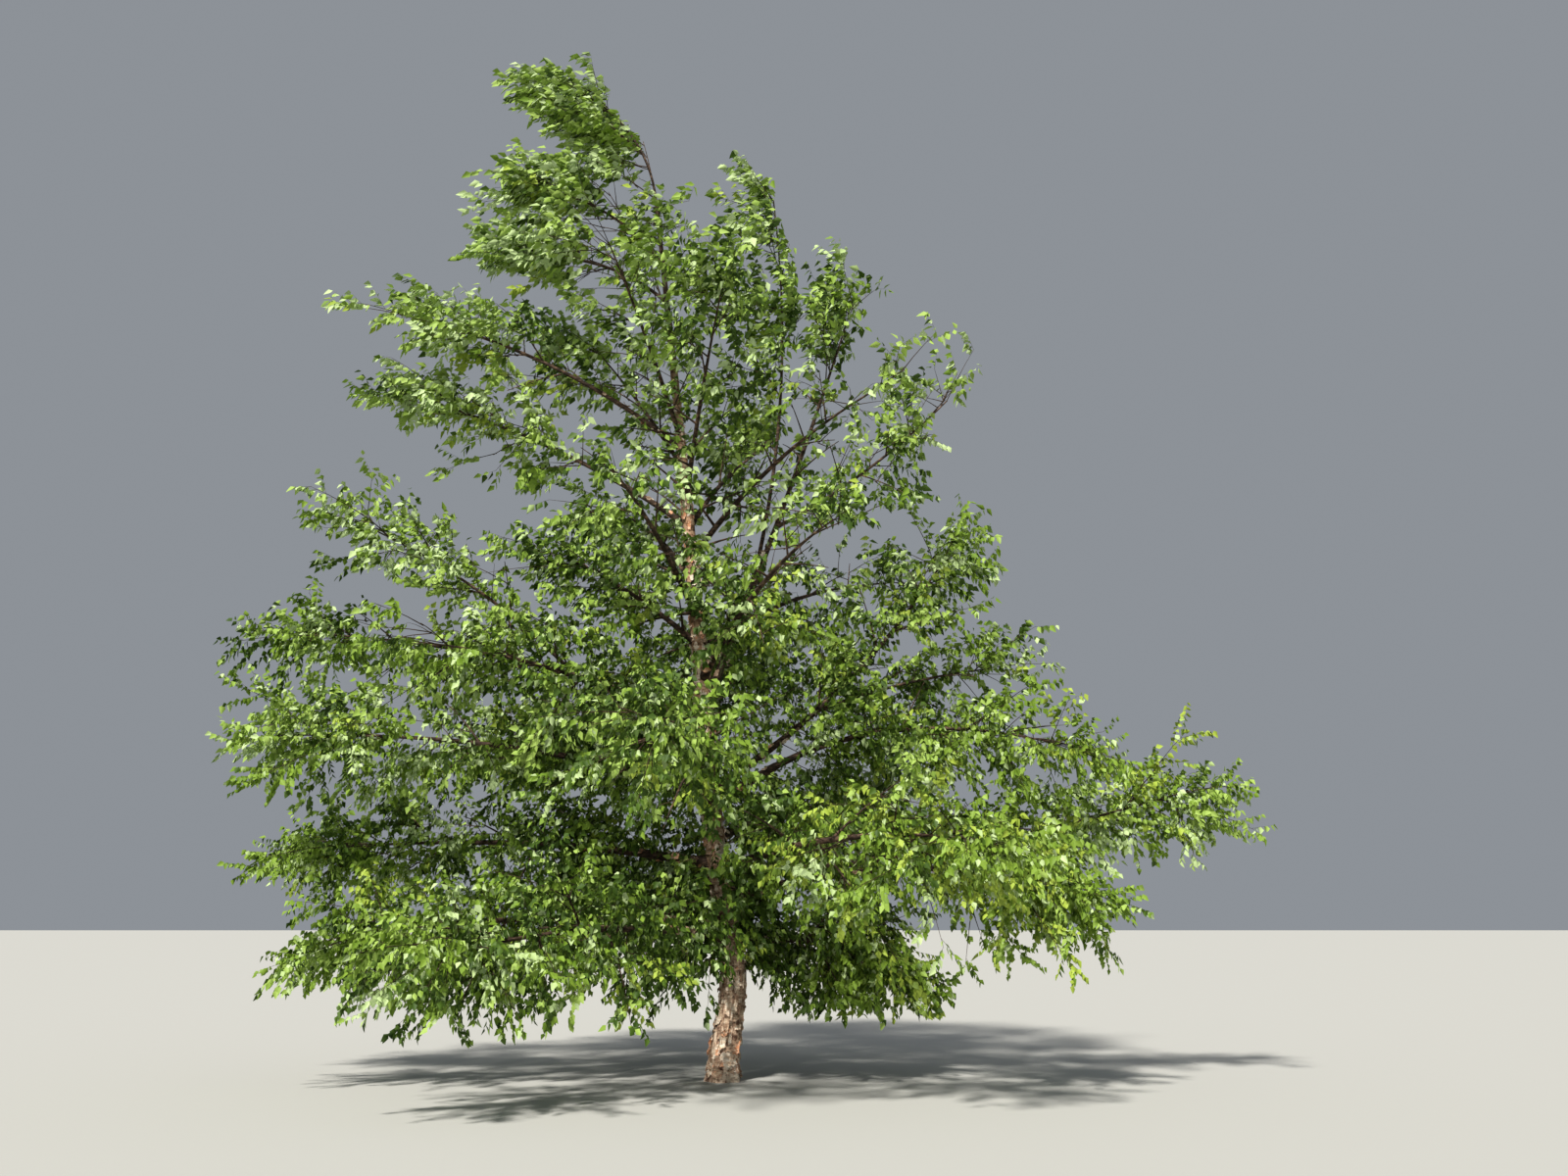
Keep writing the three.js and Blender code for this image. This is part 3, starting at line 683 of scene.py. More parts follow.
def sheets(skin, turn, metres, radius, half_width, half_height, seed, grid):
    """Torn sheets of bark that lie round a limb, each rolled up along one edge.
    skin(turn, metres) gives points of the limb's surface and the way out of it."""
    n = np.arange(len(turn))[:, None]
    cell = np.arange(grid)
    ss, tt = np.meshgrid(np.linspace(-1, 1, grid), np.linspace(-1, 1, grid), indexing="ij")
    wide, high = half_width[:, None, None], half_height[:, None, None]
    way = np.where(scatter(n, seed) < 0.5, -1.0, 1.0)[..., None]
    torn = 1 - SHEET_TORN * scatter(n * 13 + cell, seed + 1)[:, None, :]
    top = 1 - SHEET_RAGGED * scatter(n * 11 + cell, seed + 2)[..., None]
    bottom = 1 - SHEET_RAGGED * scatter(n * 17 + cell, seed + 3)[..., None]
    x = ss * torn * wide
    slant = (scatter(n, seed + 4)[..., None] - 0.5) * SHEET_SLANT * wide
    rounding = 1 - SHEET_ROUNDING * np.abs(ss) ** 3
    y = tt * np.where(tt > 0, top, bottom) * high * rounding + slant * ss
    hinge = mix(*SHEET_HINGES, scatter(n, seed + 5))[..., None] * wide
    bend = wide * mix(*SHEET_BENDS, scatter(n, seed + 6))[..., None]
    angle = np.minimum(np.maximum(x - hinge, 0) / bend, SHEET_MOST_ROLL)
    forward = np.minimum(x, hinge) + bend * np.sin(angle)
    loose = scatter(n, seed + 7)[..., None]
    lift = SHEET_STANDOFF[0] + SHEET_STANDOFF[1] * loose + bend * (1 - np.cos(angle))
    lift = lift + SHEET_LOOSE_ENDS * loose**2 * np.abs(tt) ** 3 * high
    round_by = turn[:, None, None] + way * forward / radius[:, None, None]
    points, out = skin(round_by, metres[:, None, None] + y)
    j, i = np.meshgrid(np.arange(grid - 1), np.arange(grid - 1), indexing="ij")
    a = n[..., None] * grid * grid + j * grid + i
    quads = np.stack([a, a + grid, a + grid + 1, a + 1], -1)
    return points + out * lift[..., None], quads.reshape(len(turn), -1, 4)


def bough_skin(limb):
    """The skin function of a bough, as sheets() takes it."""

    def skin(turn, metres):
        share = metres / limb.length
        turn = turn[..., None]
        over = np.cross(limb.tangent(share), limb.side)
        out = limb.side * np.cos(turn) + over * np.sin(turn)
        return limb.path(share) + out * limb.radius(share)[..., None], out

    return skin


def deal(heaps, points, quads, tone):
    """Each sheet to the heap of its tone."""
    points = points.reshape(len(tone), -1, 3)
    size = points.shape[1]
    for code, heap in enumerate(heaps):
        chosen = np.nonzero(tone == code)[0]
        if len(chosen):
            moved = (np.arange(len(chosen)) - chosen)[:, None, None] * size
            heap.add(points[chosen], (quads[chosen] + moved).reshape(-1, 4))


def tones(pick, cream, tan):
    """The tone of each sheet, by a number from 0 to 1."""
    return np.where(pick < cream, 0, np.where(pick < tan, 1, 2))


def trunk_sheets():
    heaps = [Heap() for _ in SHEET_STOPS]
    n = np.arange(TRUNK_SHEETS)
    z = mix(*TRUNK_SHEET_HEIGHTS, scatter(n, 31) ** TRUNK_SHEET_CROWDING)
    scale = np.interp(z, *TRUNK_SHEET_SCALES)
    wide = mix(*TRUNK_SHEET_WIDTHS, scatter(n, 32)) * scale
    high = mix(*TRUNK_SHEET_LENGTHS, scatter(n, 33) ** TRUNK_SHEET_SHORTNESS) * scale
    high = np.minimum(high, z - TRUNK_SHEET_FOOT)
    turn = scatter(n, 34) * 2 * math.pi
    radius = trunk_radius(z)
    points, quads = sheets(trunk_skin, turn, z, radius, wide, high, 40, TRUNK_SHEET_GRID)
    cream, tan = TRUNK_TONES
    salmon = np.interp(z, *TRUNK_SALMON_HEIGHTS)
    deal(heaps, points, quads, tones(scatter(n, 35), cream, tan - salmon))
    return heaps


def bough_meshes():
    """The boughs with their bark's relief, and the sheets on them by tone."""
    heap, peel = Heap(), [Heap() for _ in SHEET_STOPS]
    for index, limb in enumerate(x for x in limbs if x.bare):
        length = limb.length * limb.bare
        share = np.linspace(0, limb.bare, max(LEAST_BOUGH_STEPS, int(length / BOUGH_STEP)))
        metres = share * limb.length
        radius = limb.radius(share)
        collar = 1 + COLLAR * np.exp(-metres / COLLAR_LENGTH)
        turn = np.arange(BOUGH_SIDES) / BOUGH_SIDES
        rough = np.minimum(BOUGH_ROUGH[0], radius[:, None] * BOUGH_ROUGH[1])
        relief = bark_relief(turn[None], metres[:, None], rough, 20 + index)
        radii = (radius * collar)[:, None] + relief
        heap.add_limb(limb, share, radii, BOUGH_SIDES)
        n = np.arange(int(BOUGH_SHEETS * limb.length * limb.bare))
        near, far = BOUGH_SHEET_INSETS
        at = mix(near, length - far, scatter(n, 50 + index) ** BOUGH_SHEET_CROWDING)
        girth = limb.radius(at / limb.length)
        wide = mix(*BOUGH_SHEET_WIDTHS, scatter(n, 90 + index)) * girth
        high = mix(*BOUGH_SHEET_LENGTHS, scatter(n, 130 + index))
        turn = scatter(n, 170 + index) * 2 * math.pi
        seed, skin = 210 + index * 9, bough_skin(limb)
        points, quads = sheets(skin, turn, at, girth, wide, high, seed, BOUGH_SHEET_GRID)
        deal(peel, points, quads, tones(scatter(n, 6 + index), *BOUGH_TONES))
    return heap, peel


# ---- leaves
# Twigs, left and right of each branchlet
TWIG_SPACING = 0.072
MOST_TWIGS = 20
FIRST_TWIG = 0.05
TWIGGED = 0.83
TWIG_SIDES = 3
TWIG_RADIUS = 0.0019
TWIG_INSET = 0.002
TWIG_LENGTH = 0.42
TWIG_PROFILE = ((0, 0.3, 0.75, 1), (0.55, 1.0, 0.72, 0.35))
TWIG_VARIATION = (0.55, 1.12)
TWIG_ANGLES = (62, 30)
TWIG_SWAY = 20
TWIG_ROLL = 3.1
TWIG_WIND = 0.35
TWIG_SAG = (0.34, -0.1)
TWIG_TOP = cad_high[2] - 0.1
TRUNK_CLEARANCE = 0.03
# Branchlets: steps, sides, radii at the ends, and sag
BRANCHLET_STEPS = 4
BRANCHLET_SIDES = 3
BRANCHLET_RADII = (0.0065, 0.0018)
BRANCHLET_SAG = 0.14
# Leaves, left and right of each twig: longer and narrower from one height to the next
LEAF_HEIGHTS = (3.0, 7.2)
LEAF_LENGTHS = (0.079, 0.112)
LEAF_WIDTHS = (0.7, 0.58)
LENGTH_VARIATION = (0.68, 1.18)
WIDTH_VARIATION = (0.85, 1.1)
LEAF_OUTLINE = np.array([[0, 0], [0.5, 0.34], [0.25, 0.72], [0, 1], [-0.25, 0.72], [-0.5, 0.34]])
LEAF_FOLD = 0.26
LEAF_CURL = 0.16
LEAF_SPACING = 0.36
SPACING_VARIATION = (0.85, 1.15)
FIRST_LEAF = 0.9
MOST_LEAVES = 15
# The way a leaf points: along its twig, aside, down (low and high), with the wind and by chance,
# and the way it faces: with its twig's other leaves, up, and by chance
LEAF_ALONG = 0.5
LEAF_ASIDE = 0.6
LEAF_HANG = (0.85, 0.6)
LEAF_WIND = 0.9
LEAF_CHANCE = 0.8
LEAF_FACING = 0.9
LEAF_UP = 0.45


def leaf_mesh(base, along, normal, length, width):
    """Leaves of two faces each, folded along the midrib, with drooping tips."""
    across = unit(np.cross(along, normal))
    normal = np.cross(across, along)
    x, y = LEAF_OUTLINE[:, 0], LEAF_OUTLINE[:, 1]
    rise = (LEAF_FOLD * np.abs(x) * width[:, None] - LEAF_CURL * y**2) * length[:, None]
    vertices = (
        base[:, None]
        + across[:, None] * (x * (width * length)[:, None])[..., None]
        + along[:, None] * (y * length[:, None])[..., None]
        + normal[:, None] * rise[..., None]
    )
    first = np.arange(len(base))[:, None] * len(LEAF_OUTLINE)
    faces = np.stack([first + [0, 1, 2, 3], first + [0, 3, 4, 5]], 1)
    return vertices.reshape(-1, 3), faces.reshape(-1, 4)


def on_branchlets(root, along, length, share):
    """Points at shares of the length of branchlets, which sag towards their tips."""
    reach = share * length[:, None]
    sag = BRANCHLET_SAG * share**2 * length[:, None]
    return root[:, None] + along[:, None] * reach[..., None] - UP * sag[..., None]


def share_left(start, middle, seed):
    """The share of twigs that is left at each place, by the thinning, PLACES and SUN_GAPS."""
    x, z = start[..., 0], start[..., 2]
    thin = np.interp(z, *THIN_HEIGHTS) * mix(*THIN_VARIATION, scatter(seed, 29))[:, None]
    windward = WINDWARD_THIN * np.clip(x - WINDWARD_FROM, 0, 1) * np.interp(z, *WINDWARD_HEIGHTS)
    lee = np.exp(-(((x - LEE_PLACE[0]) / LEE_PLACE[1]) ** 2))
    lee *= LEE_THIN * np.interp(z, *LEE_HEIGHTS)
    left = (1 - thin) * (1 - windward) * (1 - lee)
    depth, height = middle[..., 1], middle[..., 2]
    left *= 1 - FRONT_THIN * np.interp(depth, *FRONT_DEPTHS) * np.interp(height, *FRONT_HEIGHTS)
    for full, share in fullness(middle):
        left = mix(left, 1.0, share * full) if full > 0 else left * (1 + share * full)
    for point, wide, opened, y in SUN_GAPS:
        off = np.linalg.norm(np.cross(middle - point, SUNWARD), axis=-1)
        left *= 1 - opened * np.exp(-((off / wide) ** 4)) * (depth < y)
    return left


def foliage():
    """Shoots, branchlets, twigs and leaves, with the shade of each leaf."""
    shoots, sprays = grow()
    index, root, along, seed, size = (np.array(column) for column in zip(*sprays))
    level = unit(np.cross(UP, along))
    over = np.cross(along, level)
    tilt = np.radians((scatter(seed, 7) - 0.5) * 2 * SPRAY_TILT)[:, None]
    across = level * np.cos(tilt) + over * np.sin(tilt)
    normal = np.cross(along, across)
    length = spray_length(root[:, 2]) * mix(*SPRAY_VARIATION, scatter(seed, 3)) * size

    # Twigs left and right of each branchlet
    j = np.arange(MOST_TWIGS)
    number = np.minimum(MOST_TWIGS, length / TWIG_SPACING)[:, None]
    t = FIRST_TWIG + TWIGGED * (j + scatter(seed[:, None], j + 11)) / number
    side = np.where(j % 2, -1.0, 1.0)
    start = on_branchlets(root, along, length, t)
    reach = TWIG_LENGTH * np.sqrt(length[:, None]) * np.interp(t, *TWIG_PROFILE)
    reach = reach * mix(*TWIG_VARIATION, scatter(seed[:, None], j + 41))
    sway = TWIG_SWAY * (scatter(seed[:, None], j + 71) - 0.5)
    angle = np.radians(mix(*TWIG_ANGLES, t) + sway)
    roll = TWIG_ROLL * (scatter(seed[:, None], j + 101) - 0.5)
    direction = (
        along[:, None] * np.cos(angle)[..., None]
        + across[:, None] * (np.sin(angle) * side * np.cos(roll))[..., None]
        + normal[:, None] * (np.sin(angle) * np.sin(roll))[..., None]
    )
    height = np.clip(start[..., 2:] / TRUNK_TOP, 0, 1.2)
    blown = LEEWARD * WIND * height**WIND_POWER
    direction = unit(direction + blown * TWIG_WIND - UP * mix(*TWIG_SAG, height))
    end = start + direction * reach[..., None]

    # Left out are twigs out of their foliage's space or at the trunk, and what thinning takes
    own = np.repeat(index, MOST_TWIGS)
    flat_start, flat_end = start.reshape(-1, 3), end.reshape(-1, 3)
    low = np.clip(flat_end[:, 2], 0, TRUNK_TOP)
    off = np.linalg.norm((flat_end - trunk_point(low))[:, :2], axis=1)
    keep = (owner(flat_start) == own) & (owner(flat_end) == own)
    keep &= (flat_end[:, 2] > LOWEST_SPRAY) & (flat_end[:, 2] < TWIG_TOP)
    keep &= off > trunk_radius(low) + TRUNK_CLEARANCE
    middle = start + direction * (reach * 0.5)[..., None]
    luck = mix(scatter(seed[:, None], j + 131), scatter(seed, 137)[:, None], BY_SPRAY)
    keep = keep.reshape(-1, MOST_TWIGS) & (t <= FIRST_TWIG + TWIGGED)
    keep &= luck < share_left(start, middle, seed)

    # Leaves left and right of each twig
    s, jj = np.nonzero(keep)
    twig_start, twig_end = start[s, jj], end[s, jj]
    twig_dir, twig_reach = direction[s, jj], reach[s, jj]
    twig_seed = seed[s] * MOST_TWIGS + jj
    k = np.arange(MOST_LEAVES)
    leaf_size = np.interp(twig_start[:, 2], LEAF_HEIGHTS, LEAF_LENGTHS)
    spacing = (LEAF_SPACING * leaf_size)[:, None]
    place = (k + FIRST_LEAF) * spacing * mix(*SPACING_VARIATION, scatter(twig_seed[:, None], 5))
    w, kk = np.nonzero(place <= twig_reach[:, None] + spacing * 0.5)
    at = np.minimum(place[w, kk], twig_reach[w])
    leaf_seed = twig_seed[w] * MOST_LEAVES + kk
    base = twig_start[w] + twig_dir[w] * at[:, None]
    lateral = unit(np.cross(twig_dir[w], normal[s][w])) * np.where(kk % 2, -1.0, 1.0)[:, None]
    spin = np.stack([scatter(leaf_seed, n) for n in (1, 2, 3)], -1) - 0.5
    pull = blown[s, jj][w] * LEAF_WIND - UP * mix(*LEAF_HANG, height[s, jj][w])
    leaf_along = unit(twig_dir[w] * LEAF_ALONG + lateral * LEAF_ASIDE + pull + spin * LEAF_CHANCE)
    turn = 2 * math.pi * scatter(twig_seed, 9)[w]
    facing = np.stack([np.cos(turn), np.sin(turn), np.zeros_like(turn)], -1)
    leaf_normal = unit(facing * LEAF_FACING + UP * LEAF_UP + np.roll(spin, 1, -1))
    leaf_length = leaf_size[w] * mix(*LENGTH_VARIATION, scatter(leaf_seed, 4))
    leaf_width = np.interp(base[:, 2], LEAF_HEIGHTS, LEAF_WIDTHS)
    leaf_width = leaf_width * mix(*WIDTH_VARIATION, scatter(leaf_seed, 6))

    # Branchlets reach as far as their last twig
    last = np.where(keep, t, 0).max(1)
    grown = last > 0
    steps = np.linspace(0, 1, BRANCHLET_STEPS)
    share = steps * last[grown][:, None]
    points = on_branchlets(root[grown], along[grown], length[grown], share)
    radii = mix(*BRANCHLET_RADII, steps) * np.ones((grown.sum(), 1))
    return dict(
        shoots=shoots,
        branchlets=tubes(points, radii, BRANCHLET_SIDES, across[grown]),
        twigs=cones(twig_start - twig_dir * TWIG_INSET, twig_end, TWIG_RADIUS, TWIG_SIDES),
        leaves=(base, leaf_along, leaf_normal, leaf_length, leaf_width),
        shade=shades(root[s][w], seed[s][w], leaf_seed),
    )


PALETTE = {
    "mid": ((121, 151, 48), (99, 130, 34)),
    "bright": ((156, 184, 88), (134, 165, 64)),
    "deep": ((70, 97, 24), (50, 76, 14)),
    "pale": ((186, 208, 148), (164, 188, 120)),
    "young": ((163, 185, 70), (141, 163, 54)),
}
SHADES = tuple(PALETTE)
# The order in which sprays are dealt to the shades, the last by what is left
DEALT = ("bright", "deep", "pale", "young", "mid")
# What their shares go by: height, nearness to the trunk, and painted light low down on the right,
# where the crown's shadow falls
CROWN_HEIGHT = 11
INNER_REACH = 2.6
INNER_DEPTH = 3.5
PAINTED_LIGHT_BELOW = 4
PAINTED_LIGHT_FROM = 1.2
# Each share everywhere, by height, inside, inside low down, and where light is painted. These paint
# light and shade into the leaves' colours: more bright leaves up in the crown as painted light,
# more deep ones inside and low down as painted shade, and fewer deep, more young ones where light
# is painted low on the right
SHARES = {
    "bright": (0.12, 0.42, -0.12),
    "deep": (0.27, -0.28, 0, 0.65, -0.5),
    "young": (0.07, 0, 0, 0, 0.34),
}
# The pale share: everywhere, by height and leeward, and less inside, which is painted shade
PALE_SHARE = (0.03, 0.5, 0.7)
PALE_ACROSS = (0.9, 14)
# Leaves of another shade than their spray's: from and to what number, given as shares are. Bright
# strays grow with height and fewer inside, deep strays more inside and fewer up, as painted light
# and shade
STRAYS = (
    ("bright", (-1,), (0.11, 0.07, -0.08)),
    ("mid", (0.18,), (0.3,)),
    ("deep", (0.3,), (0.37, -0.07, 0.14)),
    ("pale", (0.94, -0.06), (1,)),
)


def shades(place, seed, leaf_seed):
    """The shade of each leaf, by spray: paler to leeward and up, brighter up and low on the right
    as painted light, and deeper low and inside as painted shade.
    """
    x, y, z = place.T
    height = np.clip(z / CROWN_HEIGHT, 0, 1)
    inside = 1 - np.clip(np.hypot(x, y / INNER_DEPTH) / INNER_REACH, 0, 1)
    # Painted light: leaves low on the right, where the crown's shadow falls, are dealt brighter and
    # yellower
    painted_light = np.clip(1 - z / PAINTED_LIGHT_BELOW, 0, 1) * np.clip(x / PAINTED_LIGHT_FROM, 0, 1)

    def share(weights):
        factors = (1, height, inside, inside * (1 - height), painted_light)
        return sum(weight * factor for weight, factor in zip(weights, factors))

    shares = {shade: share(weights) for shade, weights in SHARES.items()}
    base, rise, painted_shade_inside = PALE_SHARE
    leeward = np.clip(PALE_ACROSS[0] - x / PALE_ACROSS[1], 0, 1)
    shares["pale"] = (base + rise * height * leeward) * (1 - painted_shade_inside * inside)
    total = np.cumsum(np.stack([shares[shade] for shade in DEALT[:-1]], -1), -1)
    pick = (scatter(seed, 19)[:, None] > total).sum(-1)
    code = np.array([SHADES.index(shade) for shade in DEALT])[pick]
    stray = scatter(leaf_seed, 23)
    for shade, low, high in STRAYS:
        band = (stray > share(low)) & (stray < share(high))
        code = np.where(band, SHADES.index(shade), code)
    return code


# ---- materials
def srgb(r, g, b):
    """A colour given in the 0 to 255 of a screen, as the shader takes it."""
    return tuple(
        ((c / 255 + 0.055) / 1.055) ** 2.4 if c > 10 else c / 255 / 12.92 for c in (r, g, b)
    ) + (1.0,)


def colours(*rows):
    """The stops of a ramp, from places and screen colours."""
    return [(place, srgb(*colour)) for place, *colour in rows]


TRUNK_STOPS = colours(
    (0.30, 62, 44, 32),
    (0.42, 120, 92, 70),
    (0.50, 178, 140, 110),
    (0.60, 212, 180, 150),
    (0.74, 146, 116, 92),
)
# The foot's bark: its own cream and dark patches, and painted light, lighter than the bark above,
# where the crown's shade falls
TRUNK_LOW_STOPS = colours(
    (0.36, 50, 33, 29),
    (0.44, 112, 82, 68),
    (0.50, 206, 174, 148),
    (0.61, 240, 220, 196),
)
TRUNK_HIGH_STOPS = colours((0.35, 32, 24, 20), (0.65, 72, 54, 44))
BOUGH_STOPS = colours(
    (0.34, 34, 26, 21),
    (0.48, 62, 48, 39),
    (0.60, 96, 76, 61),
    (0.72, 158, 124, 98),
)
SHEET_STOPS = {
    "cream": colours((0.32, 204, 174, 148), (0.46, 240, 216, 190), (0.62, 252, 242, 226)),
    "tan": colours((0.32, 104, 76, 62), (0.46, 168, 138, 114), (0.62, 214, 190, 164)),
    "salmon": colours((0.32, 186, 116, 80), (0.46, 228, 164, 124), (0.62, 244, 208, 178)),
}
TWIG_STOPS = colours((0.35, 36, 28, 22), (0.6, 74, 56, 42))
MARK_STOPS = ((0.36, (0.35, 0.33, 0.32, 1)), (0.47, (1, 1, 1, 1)))
MOTTLE_STOPS = ((0.3, (0.86, 0.86, 0.86, 1)), (0.7, (1, 1, 1, 1)))
# The share of leaves that a shade's second colour tints
SECOND_TINT = 0.55
# Heights over which the trunk's colours change
TRUNK_LOW = (0.2, 2.2)
TRUNK_HIGH = (6.8, 7.8)
MARK_STRENGTH = 0.75


def plug(tree, node, inputs):
    """Sets inputs of a node to values, or links them to outputs of other nodes."""
    for name, value in inputs.items():
        if isinstance(value, bpy.types.NodeSocket):
            tree.links.new(value, node.inputs[name])
        else:
            node.inputs[name].default_value = value


def new_node(tree, kind, inputs=()):
    node = tree.nodes.new("ShaderNode" + kind)
    plug(tree, node, dict(inputs))
    return node


def new_material(name, roughness, specular):
    material = bpy.data.materials.new(name)
    material.use_nodes = True
    tree = material.node_tree
    tree.nodes.clear()
    out = new_node(tree, "OutputMaterial")
    inputs = {"Roughness": roughness, "Specular IOR Level": specular}
    shader = new_node(tree, "BsdfPrincipled", inputs)
    plug(tree, out, {"Surface": shader.outputs[0]})
    return material, tree, shader


def ramp(tree, source, stops):
    node = new_node(tree, "ValToRGB", {0: source})
    elements = node.color_ramp.elements
    while len(elements) < len(stops):
        elements.new(0.5)
    for element, (place, colour) in zip(elements, stops):
        element.position, element.color = place, colour
    return node.outputs[0]


def noise(tree, scale, detail, stretch=(1, 1, 1), roughness=0.5):
    place = new_node(tree, "TexCoord").outputs["Object"]
    mapping = new_node(tree, "Mapping", {"Vector": place, "Scale": stretch})
    inputs = {"Scale": scale, "Detail": detail, "Roughness": roughness}
    node = new_node(tree, "TexNoise", {"Vector": mapping.outputs[0], **inputs})
    return node.outputs["Fac"]


def blend(tree, kind, factor, a, b):
    node = new_node(tree, "Mix")
    node.data_type = "RGBA"
    node.blend_type = kind
    plug(tree, node, {0: factor, 6: a, 7: b})
    return node.outputs[2]


def bump(tree, shader, height, strength, distance):
    inputs = {"Height": height, "Strength": strength, "Distance": distance}
    plug(tree, shader, {"Normal": new_node(tree, "Bump", inputs).outputs[0]})


def leaf_material(name, colour, other):
    """A leaf's green, a little lighter or darker from leaf to leaf."""
    material, tree, shader = new_material(name, roughness=0.6, specular=0.28)
    each = new_node(tree, "NewGeometry").outputs["Random Per Island"]
    tint = ramp(tree, each, colours((0, *other), (SECOND_TINT, *colour), (1, *colour)))
    mottle = ramp(tree, noise(tree, scale=90, detail=2), MOTTLE_STOPS)
    plug(tree, shader, {"Base Color": blend(tree, "MULTIPLY", 1.0, tint, mottle)})
    bump(tree, shader, noise(tree, scale=300, detail=2), strength=0.15, distance=0.001)
    return material


def by_height(tree, low, high, under, over):
    """One colour below a height and another above the next, blended between."""
    place = new_node(tree, "TexCoord").outputs["Object"]
    z = new_node(tree, "SeparateXYZ", {0: place}).outputs["Z"]
    reach = new_node(tree, "MapRange", {"From Min": low, "From Max": high, "Value": z})
    return blend(tree, "MIX", reach.outputs[0], under, over)


def bark_material(name, stops, low=None, high=None, scale=9.0):
    """Bark in patches of the colours of stops, and of low and high near the foot and the tip,
    with dark marks that run round the limb."""
    material, tree, shader = new_material(name, roughness=0.82, specular=0.25)
    patches = noise(tree, scale=scale, detail=8, stretch=(1, 1, 2.4), roughness=0.62)
    colour = ramp(tree, patches, stops)
    if low:
        flaked = noise(tree, scale=12, detail=10, stretch=(1.5, 1.5, 0.75), roughness=0.66)
        colour = by_height(tree, *TRUNK_LOW, ramp(tree, flaked, low), colour)
    if high:
        colour = by_height(tree, *TRUNK_HIGH, colour, ramp(tree, patches, high))
    marks = ramp(tree, noise(tree, scale=45, detail=3, stretch=(0.5, 0.5, 5)), MARK_STOPS)
    plug(tree, shader, {"Base Color": blend(tree, "MULTIPLY", MARK_STRENGTH, colour, marks)})
    cracks = noise(tree, scale=60, detail=8, stretch=(1, 1, 1.8), roughness=0.7)
    bump(tree, shader, cracks, strength=0.6, distance=0.006)
    return material


# ---- stems
STEM_STEPS = 14
STEM_SIDES = 8
STEM_NARROWING = ((0.5, 1), (1, 0.6))
LEAST_RADIUS = 0.004
SHOOT_STEPS = 6
SHOOT_SIDES = 5
SHOOT_BOW = 0.12
SHOOT_TAPER = 0.7


def stem_mesh(shoots):
    """Stems, which narrow over their second half, and the shoots that branch from them."""
    heap = Heap()
    places, factors = STEM_NARROWING
    for limb in limbs:
        share = np.linspace(limb.bare, limb.end, STEM_STEPS)
        narrow = np.interp(share, [mix(limb.bare, limb.end, place) for place in places], factors)
        radius = np.maximum(limb.radius(share) * narrow, LEAST_RADIUS)
        heap.add_limb(limb, share, radius, STEM_SIDES)
    starts, ends, radii = (np.array(column) for column in zip(*shoots))
    steps = np.linspace(0, 1, SHOOT_STEPS)
    reach = np.linalg.norm(ends - starts, axis=1)[:, None, None]
    bow = (steps * (1 - steps))[None, :, None] * UP * SHOOT_BOW * reach
    lines = mix(starts[:, None], ends[:, None], steps[None, :, None]) + bow
    radii = mix(radii[:, None], LEAST_RADIUS, steps**SHOOT_TAPER)
    heap.add(*tubes(lines, radii, SHOOT_SIDES, unit(np.cross(UP, ends - starts))))
    return heap


# ---- put together
trunk_bark = bark_material("trunk_bark", TRUNK_STOPS, TRUNK_LOW_STOPS, TRUNK_HIGH_STOPS)
bough_bark = bark_material("bough_bark", BOUGH_STOPS, scale=14)
sheet_bark = [bark_material(f"bark_{x}", SHEET_STOPS[x], scale=18) for x in SHEET_STOPS]
twig_bark = bark_material("twig_bark", TWIG_STOPS, scale=12)

bough_nodes = [f"bough_{x.name}" for x in limbs if x.bare]
foliage_nodes = [f"foliage_{x.name}" for x in limbs]
trunk = ("trunk", trunk_bark, ["trunk"], trunk_mesh(), trunk_sheets())
boughs = ("bough", bough_bark, bough_nodes, *bough_meshes())
for kind, bark, nodes, relief, peel in (trunk, boughs):
    make_piece(f"{kind}_relief", relief, bark, nodes)
    for tone, material, heap in zip(SHEET_STOPS, sheet_bark, peel):
        make_piece(f"{kind}_sheets_{tone}", heap, material)

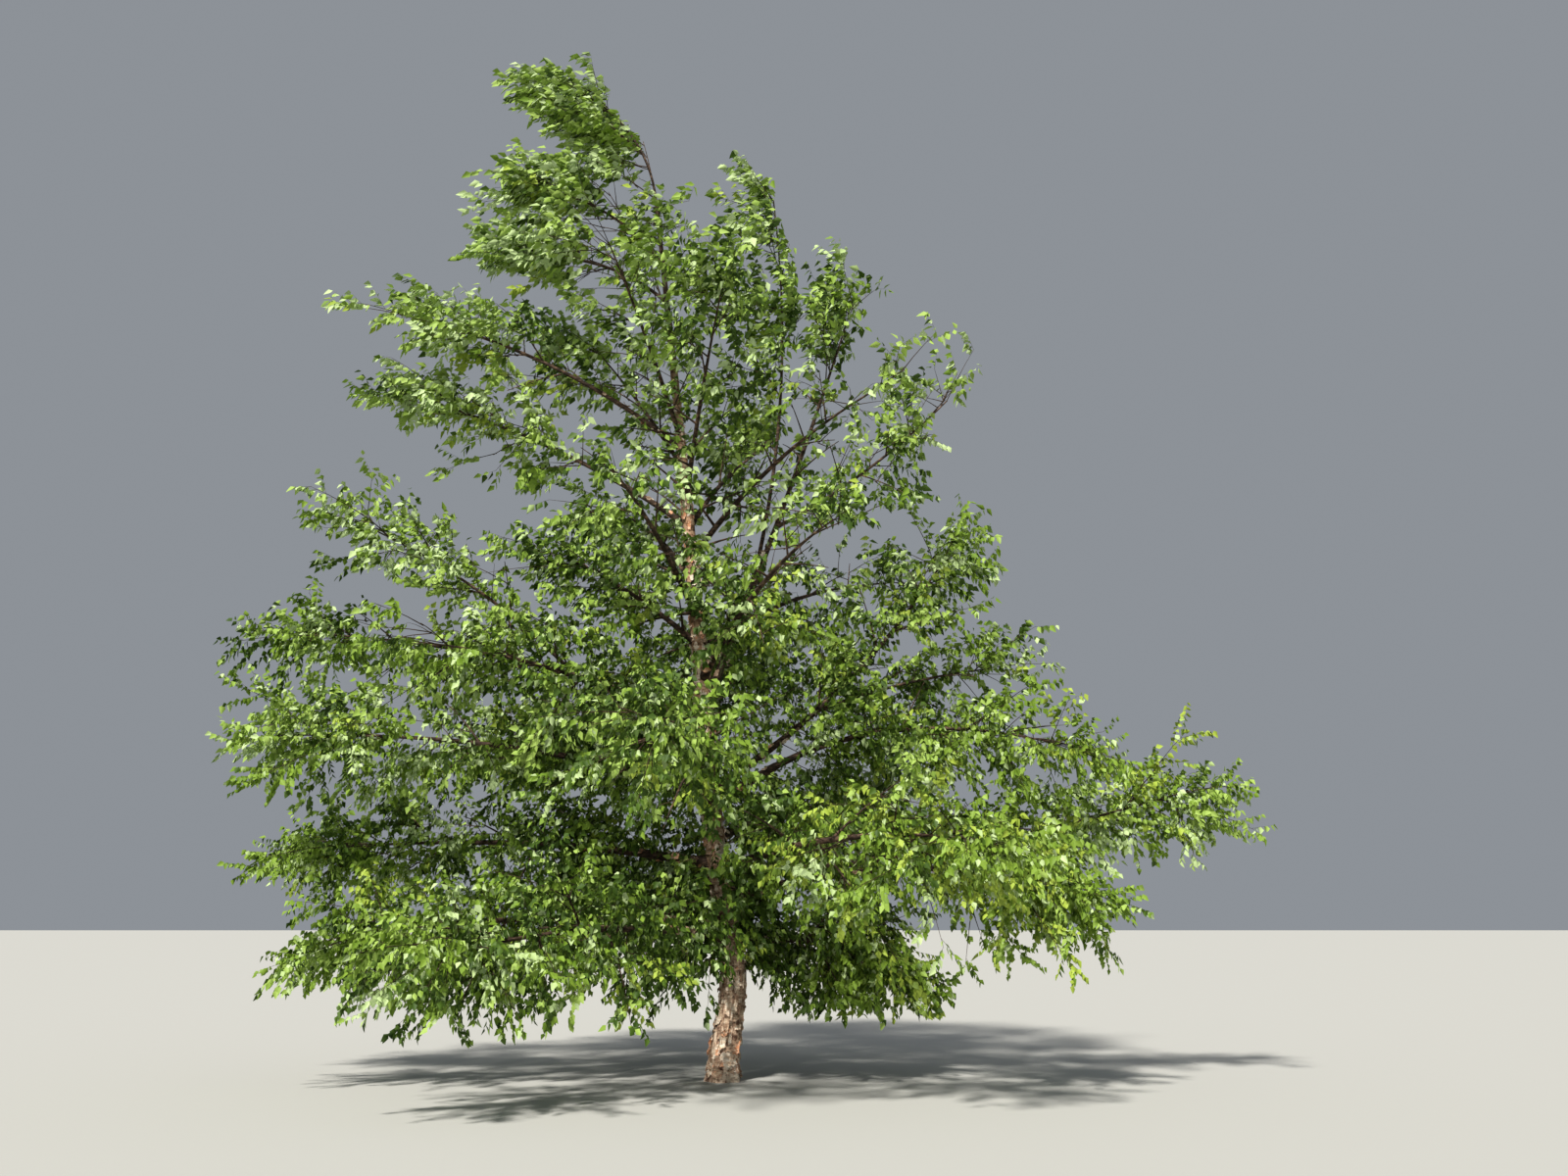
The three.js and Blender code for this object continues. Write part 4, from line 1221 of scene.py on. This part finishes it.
grown = foliage()
make_piece("stems", stem_mesh(grown["shoots"]), bough_bark, foliage_nodes)
twigs = Heap(grown["branchlets"], grown["twigs"])
make_piece("twigs", twigs, twig_bark, foliage_nodes)
for code, shade in enumerate(SHADES):
    chosen = grown["shade"] == code
    heap = Heap(leaf_mesh(*(column[chosen] for column in grown["leaves"])))
    material = leaf_material(f"leaf_{shade}", *PALETTE[shade])
    make_piece(f"leaves_{shade}", heap, material, foliage_nodes, smooth=False)

# ---- floor, light and camera
FLOOR_CORNERS = ((-150, -150, 0), (150, -150, 0), (150, 150, 0), (-150, 150, 0))
FLOOR_COLOUR = (0.45, 0.45, 0.43, 1)
SKY_COLOUR = (0.78, 0.84, 0.92, 1)
SKY_STRENGTH = 0.34
SUN_STRENGTH = 5.6
SUN_ANGLE = 5
SUN_COLOUR = (1.0, 0.96, 0.88)
SUN_TURN = (41, 0, -24)
LENS = 35.01
SENSOR_WIDTH = 36
PITCH = 12.1
CLIP_END = 500

floor_mesh = bpy.data.meshes.new("floor")
floor_mesh.from_pydata(FLOOR_CORNERS, [], [(0, 1, 2, 3)])
floor = new_object("floor", floor_mesh)
floor_material, tree, shader = new_material("floor", roughness=0.9, specular=0.5)
plug(tree, shader, {"Base Color": FLOOR_COLOUR})
floor_mesh.materials.append(floor_material)

world = bpy.data.worlds.new("studio")
bpy.context.scene.world = world
world.use_nodes = True
tree = world.node_tree
plug(tree, tree.nodes["Background"], {"Color": SKY_COLOUR, "Strength": SKY_STRENGTH})

sun_data = bpy.data.lights.new("key", "SUN")
sun_data.energy = SUN_STRENGTH
sun_data.angle = math.radians(SUN_ANGLE)
sun_data.color = SUN_COLOUR
sun = new_object("key", sun_data)
sun.rotation_euler = [math.radians(degrees) for degrees in SUN_TURN]
bpy.context.scene.view_settings.view_transform = "Standard"

camera_data = bpy.data.cameras.new("camera")
camera_data.lens = LENS
camera_data.sensor_width = SENSOR_WIDTH
camera_data.clip_end = CLIP_END
camera = new_object("camera", camera_data)
camera.location = EYE
camera.rotation_euler = (math.radians(90 + PITCH), 0, 0)
bpy.context.scene.camera = camera
